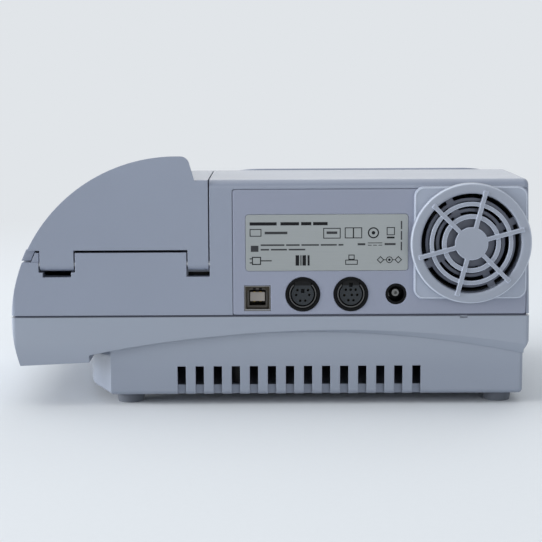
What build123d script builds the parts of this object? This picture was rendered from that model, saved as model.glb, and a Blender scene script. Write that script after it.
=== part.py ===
from build123d import *
import math
import os

# A benchtop blood analyser with a hinged bay lid, a sloped display and a rear service panel.
# Units are millimetres. +Z is up, the front faces -Y, and the back, with its ports and fan, faces +Y.
# The origin is the middle of the footprint, at the level of the feet's undersides.

# Case, overall. Places across the case were read off at the photographed width and spread with it
CASE_WIDTH = 205.0
PHOTO_WIDTH = 205.0
SPREAD = CASE_WIDTH / PHOTO_WIDTH
HALF_WIDTH = CASE_WIDTH / 2
CASE_DEPTH = 130.0
TOP_Z = 90.0
FRONT_TOP_Z = 74.0
FLAT_TOP_DEPTH = 62.0
GROOVE_TOP_Z = 36.6
GROOVE_HEIGHT = 0.8
GROOVE_DEPTH = 1.2
SEAM_X = 23.8 * SPREAD
WALL = 2.5
REAR_WALL = 4.0
SIDE_DRAFT = 1.1
REAR_CORNER_R = 1.5
FRONT_CORNER_R = 14.0
TOP_EDGE_R = 2.0
REAR_TOP_R = 3.2
LID_REAR_TOP_R = 0.8
QUARTER_TURN = 90
BREAK_R = 25.0
FRONT_TOP_R = 8.0
LEAST_CORNER_R = 0.5

# Fan guard, which stands proud of the back
GUARD_SIZE = 44.4
GUARD_BASE_THICKNESS = 2.0
GUARD_COVER_THICKNESS = 2.5
GUARD_SPOKE_RISE = 0.5
GUARD_X = -78.6 * SPREAD
GUARD_Z = 65.0

# Lid and its dome
DOME_X = 36.9 * SPREAD
DOME_Z = 33.3
DOME_CREST_Z = 99.3
DOME_FRONT_Z = 81.0
DOME_REAR_SLOPE = 3.4
DOME_CREST_WIDTH = 5.5
DOME_SHOULDER_R = 3.6
DOME_OVERRUN = 10.0
LEDGE_OVERLAP = 8.0
DOME_FLANK_LEAN = 16.0
DOME_TURN = 3.1
DOME_FRONT_R = 3.0
LID_GAP = 0.5
LID_WALL = 2.6
LID_EDGE_Z = 62.5
LID_REAR_GAP = 1.0
LIP_Z = 58.1
LIP_GAP = 0.4
LIP_EDGE_STEP = 0.2
LIP_SETBACK = 1.6
LIP_PROUD = 0.8
RIM_SETBACK = 1.0
RIM_GAP = 0.6
RIM_WALL = 2.0
LEDGE_WIDTH = 2.0
DECK_Z = 57.0
DECK_THICKNESS = 2.0
LEDGE_THICKNESS = 2.0
DECK_GAP = 0.3
LINER_THICKNESS = 2.0
LINER_RAISE = 0.4
LINER_GAP = 0.3
SCOOP_R = 40.0
SCOOP_DEPTH = 1.4
SCOOP_HEIGHT = 11.0
SCOOP_X = 62.0 * SPREAD

# Hinge
HINGE_Z = 56.8
HINGE_INSET = 2.5
PIN_R = 1.25
PIN_CLEARANCE = 0.05
PIN_SEAT_CLEARANCE = 0.02
TAB_FAR_LOW_X = 77.4 * SPREAD
TAB_FAR_HIGH_X = 90.8 * SPREAD
TAB_NEAR_HIGH_X = 32.5 * SPREAD
TAB_SIDE_GAP = 0.5
KNUCKLE_CLEARANCE = 0.5
RECESS_FLOOR_Z = 51.9
CHEEK_WIDTH = 1.6
POCKET_WALL = 1.5
PIN_END_GAP = 0.3

# Lower case
ARCH_LOW_CREST_Z = 29.5
ARCH_LOW_CREST_X = -14.4 * SPREAD
ARCH_LOW_R = 421.0
ARCH_HIGH_CREST_Z = 31.0
ARCH_HIGH_CREST_X = -30.0 * SPREAD
ARCH_HIGH_R = 474.0
ARCH_END_X = 72.0 * SPREAD
UNDERSIDE_Z = 16.5
UNDERSIDE_X = 99.4 * SPREAD
UNDERSIDE_RISE = 2.6
UNDERSIDE_LAP = 3.8
BAND_BULGE = 0.9
SIDE_CHAMFER_TOP_Z = 25.7
SIDE_CHAMFER_HEIGHT = 3.7
PEDESTAL_STEP = 2.0
PEDESTAL_FRONT_STEP = 6.0
PEDESTAL_BOTTOM_Z = 4.1
PEDESTAL_X = 63.8 * SPREAD
PEDESTAL_FLARE_X = 10.2
PEDESTAL_FLARE_Y = 24.0
PEDESTAL_FRONT_X = 80.0 * SPREAD
PEDESTAL_FLARE_R = 30.0
PEDESTAL_FRONT_R = 16.0
PEDESTAL_REAR_R = 1.5
PEDESTAL_EDGE_R = 1.8
SLOT_COUNT = 14
SLOT_WIDTH = 3.35
SLOT_PITCH = 7.2 * SPREAD
SLOT_FIRST_X = 35.5 * SPREAD
SLOT_TOP_Z = 15.6
SPLIT_NOTCH_X = -76.5 * SPREAD
SPLIT_NOTCH_WIDTH = 3.0

# Base plate, feet and case screws
PLATE_THICKNESS = 2.0
PLATE_GAP = 0.3
PLATE_RIM_HEIGHT = 3.6
PLATE_RIM_WIDTH = 1.5
PLATE_BOSS_HEIGHT = 4.0
PLATE_BOSS_R = 5.6
FOOT_LOW_INSET = 11.0
FOOT_HIGH_INSET = 7.1
FOOT_REAR_INSET = 12.0
FOOT_FRONT_INSET = 18.5
FOOT_R = 5.8
FOOT_TAPER = 0.6
POST_R = 4.0
RIB_WIDTH = 2.0
SCREW_R = 1.5
SCREW_HEAD_R = 3.0
SCREW_HEAD_HEIGHT = 2.0
SCREW_CLEARANCE = 0.2
SCREW_BITE = 6.0
UPPER_POST_HEIGHT = 7.0

# Rear panel and label plate
PANEL_LOW_X = -101.0 * SPREAD
PANEL_HIGH_X = 14.8 * SPREAD
PANEL_TOP_Z = 86.3
PANEL_THICKNESS = 2.0
PANEL_GAP = 0.1
PANEL_CORNER_R = 1.0
PANEL_EDGE_R = 0.5
PANEL_LEDGE = 3.6
LABEL_X = -22.3 * SPREAD
LABEL_Z = 65.2
LABEL_WIDTH = 63.8 * SPREAD
LABEL_HEIGHT = 22.2
LABEL_THICKNESS = 0.5
LABEL_PROUD = 0.12
LABEL_GAP = 0.15
LABEL_CORNER_R = 1.2

# Ports
PORT_GAP = 0.15
USB_X = 5.1 * SPREAD
USB_Z = 43.2
USB_WIDTH = 10.2
USB_HEIGHT = 9.9
USB_WALL = 0.7
USB_DEPTH = 16.0
USB_CHAMFER = 2.0
USB_TONGUE_WIDTH = 5.8
USB_TONGUE_HEIGHT = 3.55
USB_TONGUE_RISE = 0.5
USB_TONGUE_SINK = 1.4
USB_BACK = 1.2
DIN_BODY_WIDTH = 12.6
JACK_BODY_WIDTH = 9.0
JACK_BODY_MARGIN = 0.8
PORT_SHOULDER = 0.5
DIN_SCANNER_X = -12.8 * SPREAD
DIN_PRINTER_X = -31.8 * SPREAD
DIN_Z = 44.7
DIN_R = 6.75
DIN_BORE_R = 5.65
DIN_BORE_DEPTH = 8.0
DIN_PROUD = 0.3
DIN_DEPTH = 14.0
DIN_BLOCK_WIDTH = 6.6
DIN_INSERT_R = 4.4
DIN_INSERT_SINK = 0.8
DIN_HOLE_R = 0.5
DIN_HOLE_DEPTH = 3.0
SIX_HOLES = [(2.1, 1.6), (2.6, -0.3), (1.0, -2.6)]
TOP_HOLES = [(-2.0, 1.7), (-0.1, 1.7), (1.9, 1.7)]
MIDDLE_HOLES = [(-2.6, -0.5), (0.4, -0.4), (2.5, -0.4)]
LOW_HOLES = [(-1.0, -2.5), (1.1, -2.5)]
KEY_SLOT_WIDTH = 1.4
KEY_SLOT_HEIGHT = 1.6
KEY_SLOT_RISE = 1.3
SHIELD_R = 5.35
SHIELD_THICKNESS = 0.4
SHIELD_OPENING = 88.0
JACK_X = -49.6 * SPREAD
JACK_Z = 44.7
JACK_R = 4.05
JACK_BORE_R = 3.15
JACK_BORE_DEPTH = 9.5
JACK_DEPTH = 13.0
JACK_PIN_R = 1.45
JACK_PIN_HOLE_R = 0.6
JACK_PIN_SINK = 3.8

# Fan
FAN_SIZE = 40.0
FAN_DEPTH = 10.0
FAN_ROOM = 0.3
FAN_CORNER_R = 2.5
FAN_BORE_R = 19.0
FAN_HOLE_PITCH = 32.0
FAN_HOLE_R = 1.75
FAN_MOTOR_R = 11.0
FAN_STRUT_WIDTH = 2.2
FAN_STRUT_DEPTH = 1.6
FAN_STRUTS = 4
FAN_TIP_GAP = 0.8
FAN_HUB_R = 10.2
FAN_HUB_GAP = 0.4
FAN_BLADES = 7
FAN_BLADE_CHORD = 8.6
FAN_BLADE_THICKNESS = 0.9
FAN_ROOT_PITCH = 46.0
FAN_TIP_PITCH = 28.0
FAN_SHAFT_R = 1.0
FAN_SHAFT_CLEARANCE = 0.05
FAN_BEARING_R = 2.6
FAN_BEARING_LENGTH = 6.5
FAN_HUB_WALL = 1.2
FAN_SCREW_COVER = 0.6
FAN_SCREW_HEAD_R = 2.8
FAN_SCREW_HEAD_HEIGHT = 1.3
FAN_SCREW_R = 1.45

# Guard grilles
GUARD_CORNER_R = 4.0
GUARD_OPENING_R = 19.5
COVER_R = 23.7
COVER_EDGE_R = 0.9
COVER_HUB_R = 6.45
COVER_INNER_RING_R = 10.6
COVER_OUTER_RING_R = 15.5
COVER_INNER_RING_WIDTH = 1.8
COVER_OUTER_RING_WIDTH = 1.6
COVER_RING_DEPTH = 1.4
COVER_SPOKES = 6
COVER_SPOKE_ANGLE = 15.0
COVER_SPOKE_WIDTH = 1.7
COVER_SPOKE_REACH = 21.2
BASE_HUB_R = 9.6
BASE_INNER_RING_R = 12.9
BASE_OUTER_RING_R = 17.0
BASE_RING_WIDTH = 1.4
BASE_SPOKES = 4
BASE_SPOKE_ANGLE = 27.0
BASE_SPOKE_WIDTH = 3.0
BASE_GRILLE_DEPTH = 1.2

# Display, keys and their board, on the sloped front
BEZEL_WIDTH = 114.0
BEZEL_HEIGHT = 56.0
BEZEL_START = 4.0
BEZEL_PROUD = 1.4
BEZEL_SINK = 1.5
BEZEL_CORNER_R = 14.0
BEZEL_EDGE_R = 0.9
BEZEL_GAP = 0.25
BEZEL_LEDGE = 3.0
WINDOW_WIDTH = 78.0
WINDOW_HEIGHT = 34.0
WINDOW_START = 5.0
WINDOW_THICKNESS = 1.2
WINDOW_LEDGE = 3.0
WINDOW_GAP = 0.15
WINDOW_CORNER_R = 2.5
KEY_COUNT = 3
KEY_PITCH = 27.0
KEY_WIDTH = 17.0
KEY_HEIGHT = 7.6
KEY_FROM_WINDOW = 8.4
KEY_CORNER_R = 3.0
KEY_RISE = 1.5
KEY_EDGE_R = 0.6
KEY_GAP = 0.3
KEY_FLANGE = 1.0
KEY_FLANGE_THICKNESS = 0.8
KEY_TRAVEL = 0.8
KEY_STEM_R = 1.6
KEY_REST_GAP = 0.3
SWITCH_SIZE = 6.0
SWITCH_HEIGHT = 3.4
DISPLAY_BOARD_DEPTH = 9.0
BOARD_THICKNESS = 1.6
DISPLAY_BOARD_WIDTH = 104.0
DISPLAY_BOARD_HEIGHT = 50.0
DISPLAY_BOSS_R = 2.2
DISPLAY_BOSS_SIDE_INSET = 5.6
DISPLAY_BOSS_END_INSET = 11.0
STAKE_R = 1.2
STAKE_CLEARANCE = 0.1
STAKE_HEIGHT = 0.8
MODULE_GAP = 0.3

# Main board
MAIN_BOARD_TOP_Z = 38.2
MAIN_BOARD_LOW_X = -72.0 * SPREAD
MAIN_BOARD_HIGH_X = 17.0 * SPREAD
MAIN_BOARD_DEPTH = 68.0
MAIN_BOARD_REAR_GAP = 4.4
PILLAR_R = 3.0
PILLAR_SIDE_INSET = 3.5
PILLAR_END_INSET = 14.0
PILLAR_BORE_DEPTH = 8.0
BOARD_SCREW_R = 1.2
BOARD_SCREW_HEAD_R = 2.4
BOARD_SCREW_HEAD_HEIGHT = 1.5
BOARD_SCREW_BITE = 5.0
CHIP_SIZE = 14.0
CHIP_HEIGHT = 1.6
CAPACITOR_R = 4.0
CAPACITOR_HEIGHT = 10.0
CAPACITOR_COUNT = 3
CAPACITOR_PITCH = 10.0
CAPACITOR_INSET = 12.0

# Cartridge bay
WELL_X = 60.0 * SPREAD
WELL_Y = 2.0
WELL_WIDTH = 30.0
WELL_LENGTH = 20.0
WELL_DEPTH = 21.0
WELL_CORNER_R = 3.0
HOLDER_WALL = 1.8
HOLDER_FLANGE = 3.0
HOLDER_FLANGE_THICKNESS = 1.0
HOLDER_GAP = 0.3
SEAL_WIDTH = 2.4
SEAL_HEIGHT = 1.6
SEAL_GAP = 0.3
HEATER_WALL = 4.0
HEATER_HEIGHT = 10.0
HEATER_LIFT = 2.0
OPTIC_LENGTH = 14.0
OPTIC_HEIGHT = 9.0
OPTIC_PORT_R = 2.5
LAMP_BOARD_MARGIN = 3.0
MAGNET_R = 3.0
MAGNET_HEIGHT = 1.6
MAGNET_FROM_FRONT = 13.0
SENSOR_SIZE = 6.0
SENSOR_HEIGHT = 3.0

# Worked out from the sizes above
GUARD_PROUD = GUARD_BASE_THICKNESS + GUARD_COVER_THICKNESS + GUARD_SPOKE_RISE
BACK_Y = (CASE_DEPTH - GUARD_PROUD) / 2
FRONT_Y = BACK_Y - CASE_DEPTH
BREAK_Y = BACK_Y - FLAT_TOP_DEPTH
SLOPE = math.atan2(TOP_Z - FRONT_TOP_Z, BREAK_Y - FRONT_Y)
HINGE_Y = BACK_Y - HINGE_INSET
LIP_REAR_Y = HINGE_Y - LIP_SETBACK
RIM_TOP_Z = LID_EDGE_Z - LID_REAR_GAP
RIM_INSET = LID_WALL + RIM_GAP
RIM_BASE_Z = LIP_Z - LIP_GAP
GROOVE_BOTTOM_Z = GROOVE_TOP_Z - GROOVE_HEIGHT
DOME_RX = HALF_WIDTH - DOME_X
DOME_FLANK_X = DOME_X - DOME_CREST_WIDTH
LID_X = SEAM_X + LID_GAP
PLATE_TOP_Z = PEDESTAL_BOTTOM_Z + PLATE_THICKNESS
PLATE_BOSS_TOP_Z = PEDESTAL_BOTTOM_Z + PLATE_BOSS_HEIGHT
FOOT_PLACES = [
    (x, y)
    for x in (FOOT_LOW_INSET - HALF_WIDTH, PEDESTAL_X - FOOT_HIGH_INSET)
    for y in (BACK_Y - FOOT_REAR_INSET, FRONT_Y + FOOT_FRONT_INSET)
]
PANEL_FACE_Y = BACK_Y
PANEL_BACK_Y = BACK_Y - PANEL_THICKNESS
BASE_FACE_Y = BACK_Y + GUARD_BASE_THICKNESS
COVER_FACE_Y = BASE_FACE_Y + GUARD_COVER_THICKNESS
FAN_BACK_Y = PANEL_BACK_Y - FAN_DEPTH
FAN_HOLES = [(i * FAN_HOLE_PITCH / 2, j * FAN_HOLE_PITCH / 2) for i in (-1, 1) for j in (-1, 1)]
BEZEL_X = (SEAM_X - HALF_WIDTH) / 2
WINDOW_TOP = BEZEL_START + WINDOW_START
KEY_MIDDLE = WINDOW_TOP + WINDOW_HEIGHT + KEY_FROM_WINDOW
BOARD_LIFT = -DISPLAY_BOARD_DEPTH
DECK_BOTTOM_Z = DECK_Z - DECK_THICKNESS
SHELF_Z = DECK_BOTTOM_Z - LEDGE_THICKNESS
SEAT_INSET = RIM_INSET + RIM_WALL
KNUCKLE_R = HINGE_INSET
KNUCKLE_FRONT_Y = HINGE_Y - KNUCKLE_R - KNUCKLE_CLEARANCE
KNUCKLE_LOW_Z = HINGE_Z - KNUCKLE_R - KNUCKLE_CLEARANCE
FAR_RECESS = (TAB_FAR_LOW_X - TAB_SIDE_GAP, TAB_FAR_HIGH_X + TAB_SIDE_GAP)
NEAR_RECESS = (SEAM_X, TAB_NEAR_HIGH_X + TAB_SIDE_GAP)
POST_FRONT_WALL_Y = FRONT_Y + PEDESTAL_FRONT_STEP + WALL
POST_REAR_WALL_Y = BACK_Y - PEDESTAL_STEP - WALL
HOLDER_WIDTH = WELL_WIDTH + 2 * HOLDER_WALL
HOLDER_LENGTH = WELL_LENGTH + 2 * HOLDER_WALL
FLANGE_TOP_Z = DECK_Z + HOLDER_FLANGE_THICKNESS
HOLDER_BOTTOM_Z = FLANGE_TOP_Z - WELL_DEPTH - HOLDER_WALL
FLANGE_R = WELL_CORNER_R + HOLDER_WALL + HOLDER_FLANGE
SEAL_INNER_X = HOLDER_WIDTH + 2 * (HOLDER_FLANGE + SEAL_GAP)
SEAL_INNER_Y = HOLDER_LENGTH + 2 * (HOLDER_FLANGE + SEAL_GAP)
HEATER_LOW_Z = HOLDER_BOTTOM_Z + HEATER_LIFT
OPTIC_Z = HEATER_LOW_Z + HEATER_HEIGHT / 2
HEATER_FACE_X = WELL_X - HOLDER_WIDTH / 2 - HOLDER_GAP - HEATER_WALL
OPTIC_LOW_X = HEATER_FACE_X - OPTIC_LENGTH
LINER_LOW_Z = LID_EDGE_Z + LINER_RAISE
LINER_INSET = LID_WALL + LINER_GAP
MAGNET_Y = FRONT_Y + MAGNET_FROM_FRONT
FAN_BEARING_Y = FAN_BACK_Y + FAN_BEARING_LENGTH
FAN_SCREW_END_Y = BASE_FACE_Y - FAN_SCREW_COVER
ROTOR_FRONT_Y = FAN_BACK_Y + FAN_STRUT_DEPTH + FAN_HUB_GAP
ROTOR_BACK_Y = PANEL_BACK_Y - FAN_HUB_GAP
USB_FLOOR_Y = PANEL_FACE_Y - USB_DEPTH + USB_BACK
DIN_FACE_Y = PANEL_FACE_Y + DIN_PROUD
DIN_FLOOR_Y = DIN_FACE_Y - DIN_BORE_DEPTH
MAIN_BOARD_LOW_Z = MAIN_BOARD_TOP_Z - BOARD_THICKNESS
MAIN_BOARD_REAR_Y = BACK_Y - MAIN_BOARD_REAR_GAP
MAIN_BOARD_FRONT_Y = MAIN_BOARD_REAR_Y - MAIN_BOARD_DEPTH
PORT_SHOULDER_Y = MAIN_BOARD_REAR_Y + PORT_SHOULDER
PILLAR_PLACES = [
    (x, y)
    for x in (MAIN_BOARD_LOW_X + PILLAR_SIDE_INSET, MAIN_BOARD_HIGH_X - PILLAR_SIDE_INSET)
    for y in (MAIN_BOARD_REAR_Y - PILLAR_END_INSET, MAIN_BOARD_FRONT_Y + PILLAR_END_INSET)
]
FAR = 2 * CASE_WIDTH


def along_x(profile, low, high):
    return extrude(Plane.YZ.offset(low) * profile, amount=high - low)


def along_y(profile, rear, front):
    return extrude(Plane.XZ.offset(-rear) * profile, amount=rear - front)


def along_z(profile, low, high):
    return extrude(Plane.XY.offset(low) * profile, amount=high - low)


def block(x0, x1, y0, y1, z0, z1):
    return along_z(Pos((x0 + x1) / 2, (y0 + y1) / 2) * Rectangle(x1 - x0, y1 - y0), z0, z1)


def polygon(points, radii):
    return make_face(FilletPolyline(*points, radius=radii, close=True))


def corner(radius, inset):
    return max(radius - inset, LEAST_CORNER_R)


# The outlines that every casing shares, each set in by a wall where it bounds a cavity
def plan_outline(inset, rear_inset):
    x = HALF_WIDTH - inset
    rear = corner(REAR_CORNER_R, inset)
    front = corner(FRONT_CORNER_R, inset)
    rear_y = BACK_Y - rear_inset
    points = [(-x, rear_y), (x, rear_y), (x, FRONT_Y + inset), (-x, FRONT_Y + inset)]
    return polygon(points, [rear, rear, front, front])


def slope_z(y, inset):
    return TOP_Z - (BREAK_Y - y) * math.tan(SLOPE) - inset / math.cos(SLOPE)


def side_profile(inset, rear_inset, low_z, rear_r=REAR_TOP_R):
    front = FRONT_Y + inset
    rear = BACK_Y - rear_inset
    top = TOP_Z - inset
    points = [
        (rear, low_z),
        (rear, top),
        (BREAK_Y + inset * math.tan(SLOPE / 2), top),
        (front, slope_z(front, inset)),
        (front, low_z),
    ]
    radii = [0, corner(rear_r, inset), BREAK_R, corner(FRONT_TOP_R, inset), 0]
    return polygon(points, radii)


def dome_crest_z(y):
    back = BACK_Y - y
    steep = math.tan(math.radians(DOME_REAR_SLOPE))
    bend = (DOME_CREST_Z - DOME_FRONT_Z - steep * CASE_DEPTH) / CASE_DEPTH**3
    return DOME_CREST_Z - steep * back - bend * back**3


# The dome's inner side leans out and turns away from the seam towards the front
def dome_section(y, inset, rear_flank):
    turn = math.tan(math.radians(DOME_TURN)) * (BACK_Y - y)
    flank = rear_flank + turn
    top_x = DOME_X + turn
    across = HALF_WIDTH - inset - top_x
    crest = dome_crest_z(y) - inset
    radius = corner(DOME_SHOULDER_R, inset)
    lean = math.radians(DOME_FLANK_LEAN)
    middle = (lean + math.pi / 2) / 2
    centre = (flank + radius, crest - radius)
    shoulder = (centre[0] - radius * math.cos(lean), centre[1] + radius * math.sin(lean))
    halfway = (centre[0] - radius * math.cos(middle), centre[1] + radius * math.sin(middle))
    start = (flank + radius, crest)
    low = (shoulder[0] - (shoulder[1] - DOME_Z) * math.tan(lean), DOME_Z)
    outline = Line(low, shoulder)
    outline += ThreePointArc(shoulder, halfway, start)
    outline += Line(start, (top_x, crest))
    outline += EllipticalCenterArc((top_x, DOME_Z), across, crest - DOME_Z, 0, arc_size=QUARTER_TURN)
    outline += Line((top_x + across, DOME_Z), low)
    return Plane.XZ.offset(-y) * make_face(outline)


def dome_hull(inset, flank):
    third = CASE_DEPTH / 3
    places = (BACK_Y + DOME_OVERRUN, BACK_Y - third, FRONT_Y + third, FRONT_Y - DOME_OVERRUN)
    return loft([dome_section(y, inset, flank) for y in places])


def left_edges(body, low_z):
    high_x = SIDE_DRAFT + LEAST_CORNER_R - HALF_WIDTH
    edges = [edge for edge in body.edges() if edge.center().X < high_x]
    return [edge for edge in edges if edge.center().Z > low_z + LEAST_CORNER_R]


# Body shell outline: display slope, flat top and a drafted side wall
def body_block(inset, rear_inset, low_z, edge_r=0):
    left = inset - HALF_WIDTH
    body = along_x(side_profile(inset, rear_inset, low_z), left, SEAM_X - inset)
    outside = left - WALL
    lean = [(left, GROOVE_TOP_Z), (left + SIDE_DRAFT, TOP_Z), (outside, TOP_Z), (outside, GROOVE_TOP_Z)]
    body -= along_y(make_face(Polyline(*lean, close=True)), BACK_Y, FRONT_Y)
    if edge_r:
        body = fillet(left_edges(body, low_z), edge_r)
    return body & along_z(plan_outline(inset, rear_inset), low_z - WALL, TOP_Z + WALL)


def bay_region(inset, rear_inset, low_x, low_z, high_z):
    region = dome_hull(inset, SEAM_X - 2 * DOME_CREST_WIDTH)
    region &= along_z(plan_outline(inset, rear_inset), low_z, high_z)
    return region & block(low_x, FAR, -FAR, FAR, low_z, high_z)


def lid_block(inset, dome):
    ledge = side_profile(inset, inset, DOME_Z, rear_r=LID_REAR_TOP_R)
    body = dome + along_x(ledge, LID_X + inset, DOME_FLANK_X + inset + LEDGE_OVERLAP)
    return body & along_z(plan_outline(inset, inset), DOME_Z, TOP_Z + DOME_OVERRUN)


# Display slope frame: x across the case, down from where the flat top ends, lift out of the slope
def on_slope(x, down, lift):
    y = BREAK_Y - down * math.cos(SLOPE) - lift * math.sin(SLOPE)
    z = TOP_Z - down * math.sin(SLOPE) + lift * math.cos(SLOPE)
    return Plane(origin=(x, y, z), x_dir=(1, 0, 0), z_dir=(0, -math.sin(SLOPE), math.cos(SLOPE)))


def slope_plate(x, middle, width, height, radius, low, high):
    return extrude(on_slope(x, middle, low) * RectangleRounded(width, height, radius), amount=high - low)


def slope_pin(x, middle, radius, low, high):
    return extrude(on_slope(x, middle, low) * Circle(radius), amount=high - low)


def bezel_plate(grow, low, high):
    middle = BEZEL_START + BEZEL_HEIGHT / 2
    return slope_plate(
        BEZEL_X, middle, BEZEL_WIDTH + 2 * grow, BEZEL_HEIGHT + 2 * grow, BEZEL_CORNER_R + grow, low, high
    )


def rod_x(y, z, radius, low, high):
    return along_x(Pos(y, z) * Circle(radius), low, high)


def rod_y(x, z, radius, rear, front):
    return along_y(Pos(x, z) * Circle(radius), rear, front)


def rod_z(x, y, radius, low, high):
    return along_z(Pos(x, y) * Circle(radius), low, high)


def well_block(width, length, radius, low, high):
    return along_z(Pos(WELL_X, WELL_Y) * RectangleRounded(width, length, radius), low, high)


# Upper case
def hinge_pocket(recess, low_x):
    high_x = recess[1] + POCKET_WALL
    low_z = RECESS_FLOOR_Z - POCKET_WALL
    return block(low_x, high_x, KNUCKLE_FRONT_Y - POCKET_WALL, BACK_Y, low_z, RIM_TOP_Z)


def far_pocket():
    return hinge_pocket(FAR_RECESS, FAR_RECESS[0] - POCKET_WALL)


def near_pocket():
    return hinge_pocket(NEAR_RECESS, NEAR_RECESS[0] - WALL)


def hinge_recesses():
    rear = BACK_Y + WALL
    cut = block(*FAR_RECESS, KNUCKLE_FRONT_Y, rear, KNUCKLE_LOW_Z, TOP_Z)
    cheeks = (FAR_RECESS[0] + CHEEK_WIDTH, FAR_RECESS[1] - CHEEK_WIDTH)
    cut += block(*cheeks, KNUCKLE_FRONT_Y - 2 * POCKET_WALL, rear, RECESS_FLOOR_Z, KNUCKLE_LOW_Z)
    cut += block(*NEAR_RECESS, KNUCKLE_FRONT_Y, rear, RECESS_FLOOR_Z, TOP_Z)
    return cut


def pin_spans():
    far = (FAR_RECESS[0] - POCKET_WALL + PIN_END_GAP, FAR_RECESS[1] + POCKET_WALL - PIN_END_GAP)
    near = (NEAR_RECESS[0] - WALL + PIN_END_GAP, NEAR_RECESS[1] + POCKET_WALL - PIN_END_GAP)
    return [far, near]


def hinge_pins():
    return [rod_x(HINGE_Y, HINGE_Z, PIN_R, low, high) for low, high in pin_spans()]


def upper_posts():
    posts = []
    for x, y in FOOT_PLACES:
        top = GROOVE_TOP_Z + UPPER_POST_HEIGHT
        post = rod_z(x, y, POST_R, GROOVE_TOP_Z, top)
        half = RIB_WIDTH / 2
        if x < SEAM_X:
            post += block(WALL / 2 - HALF_WIDTH, x, y - half, y + half, GROOVE_TOP_Z, top)
        elif y > 0:
            post += block(x - half, x + half, y, BACK_Y - REAR_WALL / 2, GROOVE_TOP_Z, top)
        else:
            post += block(x - half, x + half, FRONT_Y + WALL / 2, y, GROOVE_TOP_Z, top)
        posts.append(post - rod_z(x, y, SCREW_R + PIN_SEAT_CLEARANCE, GROOVE_TOP_Z, top))
    return posts


def panel_rebate():
    high_z = PANEL_TOP_Z + PANEL_GAP
    width = PANEL_HIGH_X - PANEL_LOW_X + 2 * PANEL_GAP
    middle = (PANEL_HIGH_X + PANEL_LOW_X) / 2
    tall = high_z - GROOVE_TOP_Z + 2 * WALL
    outline = Pos(middle, high_z - tall / 2) * RectangleRounded(width, tall, PANEL_CORNER_R)
    return along_y(outline, BACK_Y + WALL, PANEL_BACK_Y)


def fan_room():
    half = FAN_SIZE / 2 + FAN_ROOM
    front = FAN_BACK_Y - FAN_SCREW_HEAD_HEIGHT - FAN_ROOM
    return block(GUARD_X - half, GUARD_X + half, front, PANEL_BACK_Y, GUARD_Z - half, GUARD_Z + half)


def upper_case():
    shell = body_block(0, 0, GROOVE_TOP_Z, TOP_EDGE_R)
    shell += bay_region(0, 0, SEAM_X - WALL, GROOVE_TOP_Z, RIM_BASE_Z)
    shell += bay_region(RIM_INSET, 0, SEAM_X - WALL, RIM_BASE_Z - WALL, RIM_TOP_Z)
    shell -= body_block(WALL, REAR_WALL, GROOVE_TOP_Z - WALL)
    shell -= bay_region(WALL, REAR_WALL, SEAM_X - 2 * WALL, GROOVE_TOP_Z - WALL, SHELF_Z)
    ledge = SEAT_INSET + LEDGE_WIDTH
    shell -= bay_region(ledge, REAR_WALL + LEDGE_WIDTH, SEAM_X + LEDGE_WIDTH, SHELF_Z - WALL, RIM_TOP_Z)
    shell -= bay_region(SEAT_INSET, REAR_WALL, SEAM_X, DECK_BOTTOM_Z, RIM_TOP_Z + WALL)
    shell += [far_pocket(), near_pocket()]
    shell += upper_posts()
    shell -= hinge_recesses()
    shell -= block(FAR_RECESS[1], FAR, BACK_Y - RIM_SETBACK, BACK_Y + WALL, RIM_BASE_Z, RIM_TOP_Z + WALL)
    for low, high in pin_spans():
        shell -= rod_x(HINGE_Y, HINGE_Z, PIN_R + PIN_SEAT_CLEARANCE, low, high)
    shell -= panel_rebate()
    opening = (PANEL_LOW_X + PANEL_LEDGE, PANEL_HIGH_X - PANEL_LEDGE)
    shell -= block(*opening, BACK_Y - 2 * REAR_WALL, BACK_Y, GROOVE_TOP_Z - WALL, PANEL_TOP_Z - PANEL_LEDGE)
    shell -= fan_room()
    shell -= bezel_plate(BEZEL_GAP, -BEZEL_SINK, BEZEL_PROUD)
    shell -= bezel_plate(-BEZEL_LEDGE, -2 * WALL, 0)
    scoop = rod_z(SCOOP_X, FRONT_Y + SCOOP_DEPTH - SCOOP_R, SCOOP_R, RIM_BASE_Z - SCOOP_HEIGHT, RIM_BASE_Z)
    return shell - scoop


# Lid
def hinge_tab(low, high):
    tab = block(low, high, HINGE_Y - KNUCKLE_R, BACK_Y, HINGE_Z, LID_EDGE_Z)
    return tab + rod_x(HINGE_Y, HINGE_Z, KNUCKLE_R, low, high)


# The lip's inner line at the back, which follows the dome's arc below the lid's rear edge
def lip_x(z):
    rise = (z - DOME_Z) / (DOME_CREST_Z - LID_WALL - DOME_Z)
    return DOME_X + (DOME_RX - LID_WALL) * math.sqrt(1 - rise**2) - LIP_EDGE_STEP


def lid_edge_cutters():
    low = LIP_Z - WALL
    left = LID_X - WALL
    rear = [(left, low), (left, LID_EDGE_Z), (lip_x(LID_EDGE_Z), LID_EDGE_Z), (lip_x(low), low)]
    seam = LID_X + LID_WALL + LIP_EDGE_STEP
    return [
        along_y(make_face(Polyline(*rear, close=True)), BACK_Y + WALL, BACK_Y - LID_WALL - LIP_EDGE_STEP),
        block(left, FAR, LIP_REAR_Y, BACK_Y + WALL, low, LID_EDGE_Z),
        block(left, seam, FRONT_Y + LID_WALL, BACK_Y - LID_WALL, low, LID_EDGE_Z),
    ]


def rounded_dome():
    dome = dome_hull(0, DOME_FLANK_X) & along_z(plan_outline(0, 0), DOME_Z, TOP_Z + DOME_OVERRUN)
    front = [
        edge
        for edge in dome.edges()
        if edge.bounding_box().max.Y < FRONT_Y + PANEL_EDGE_R
        and edge.bounding_box().max.Z > LID_EDGE_Z
        and edge.bounding_box().size.X > LEAST_CORNER_R
    ]
    return fillet(front, DOME_FRONT_R)


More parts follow.
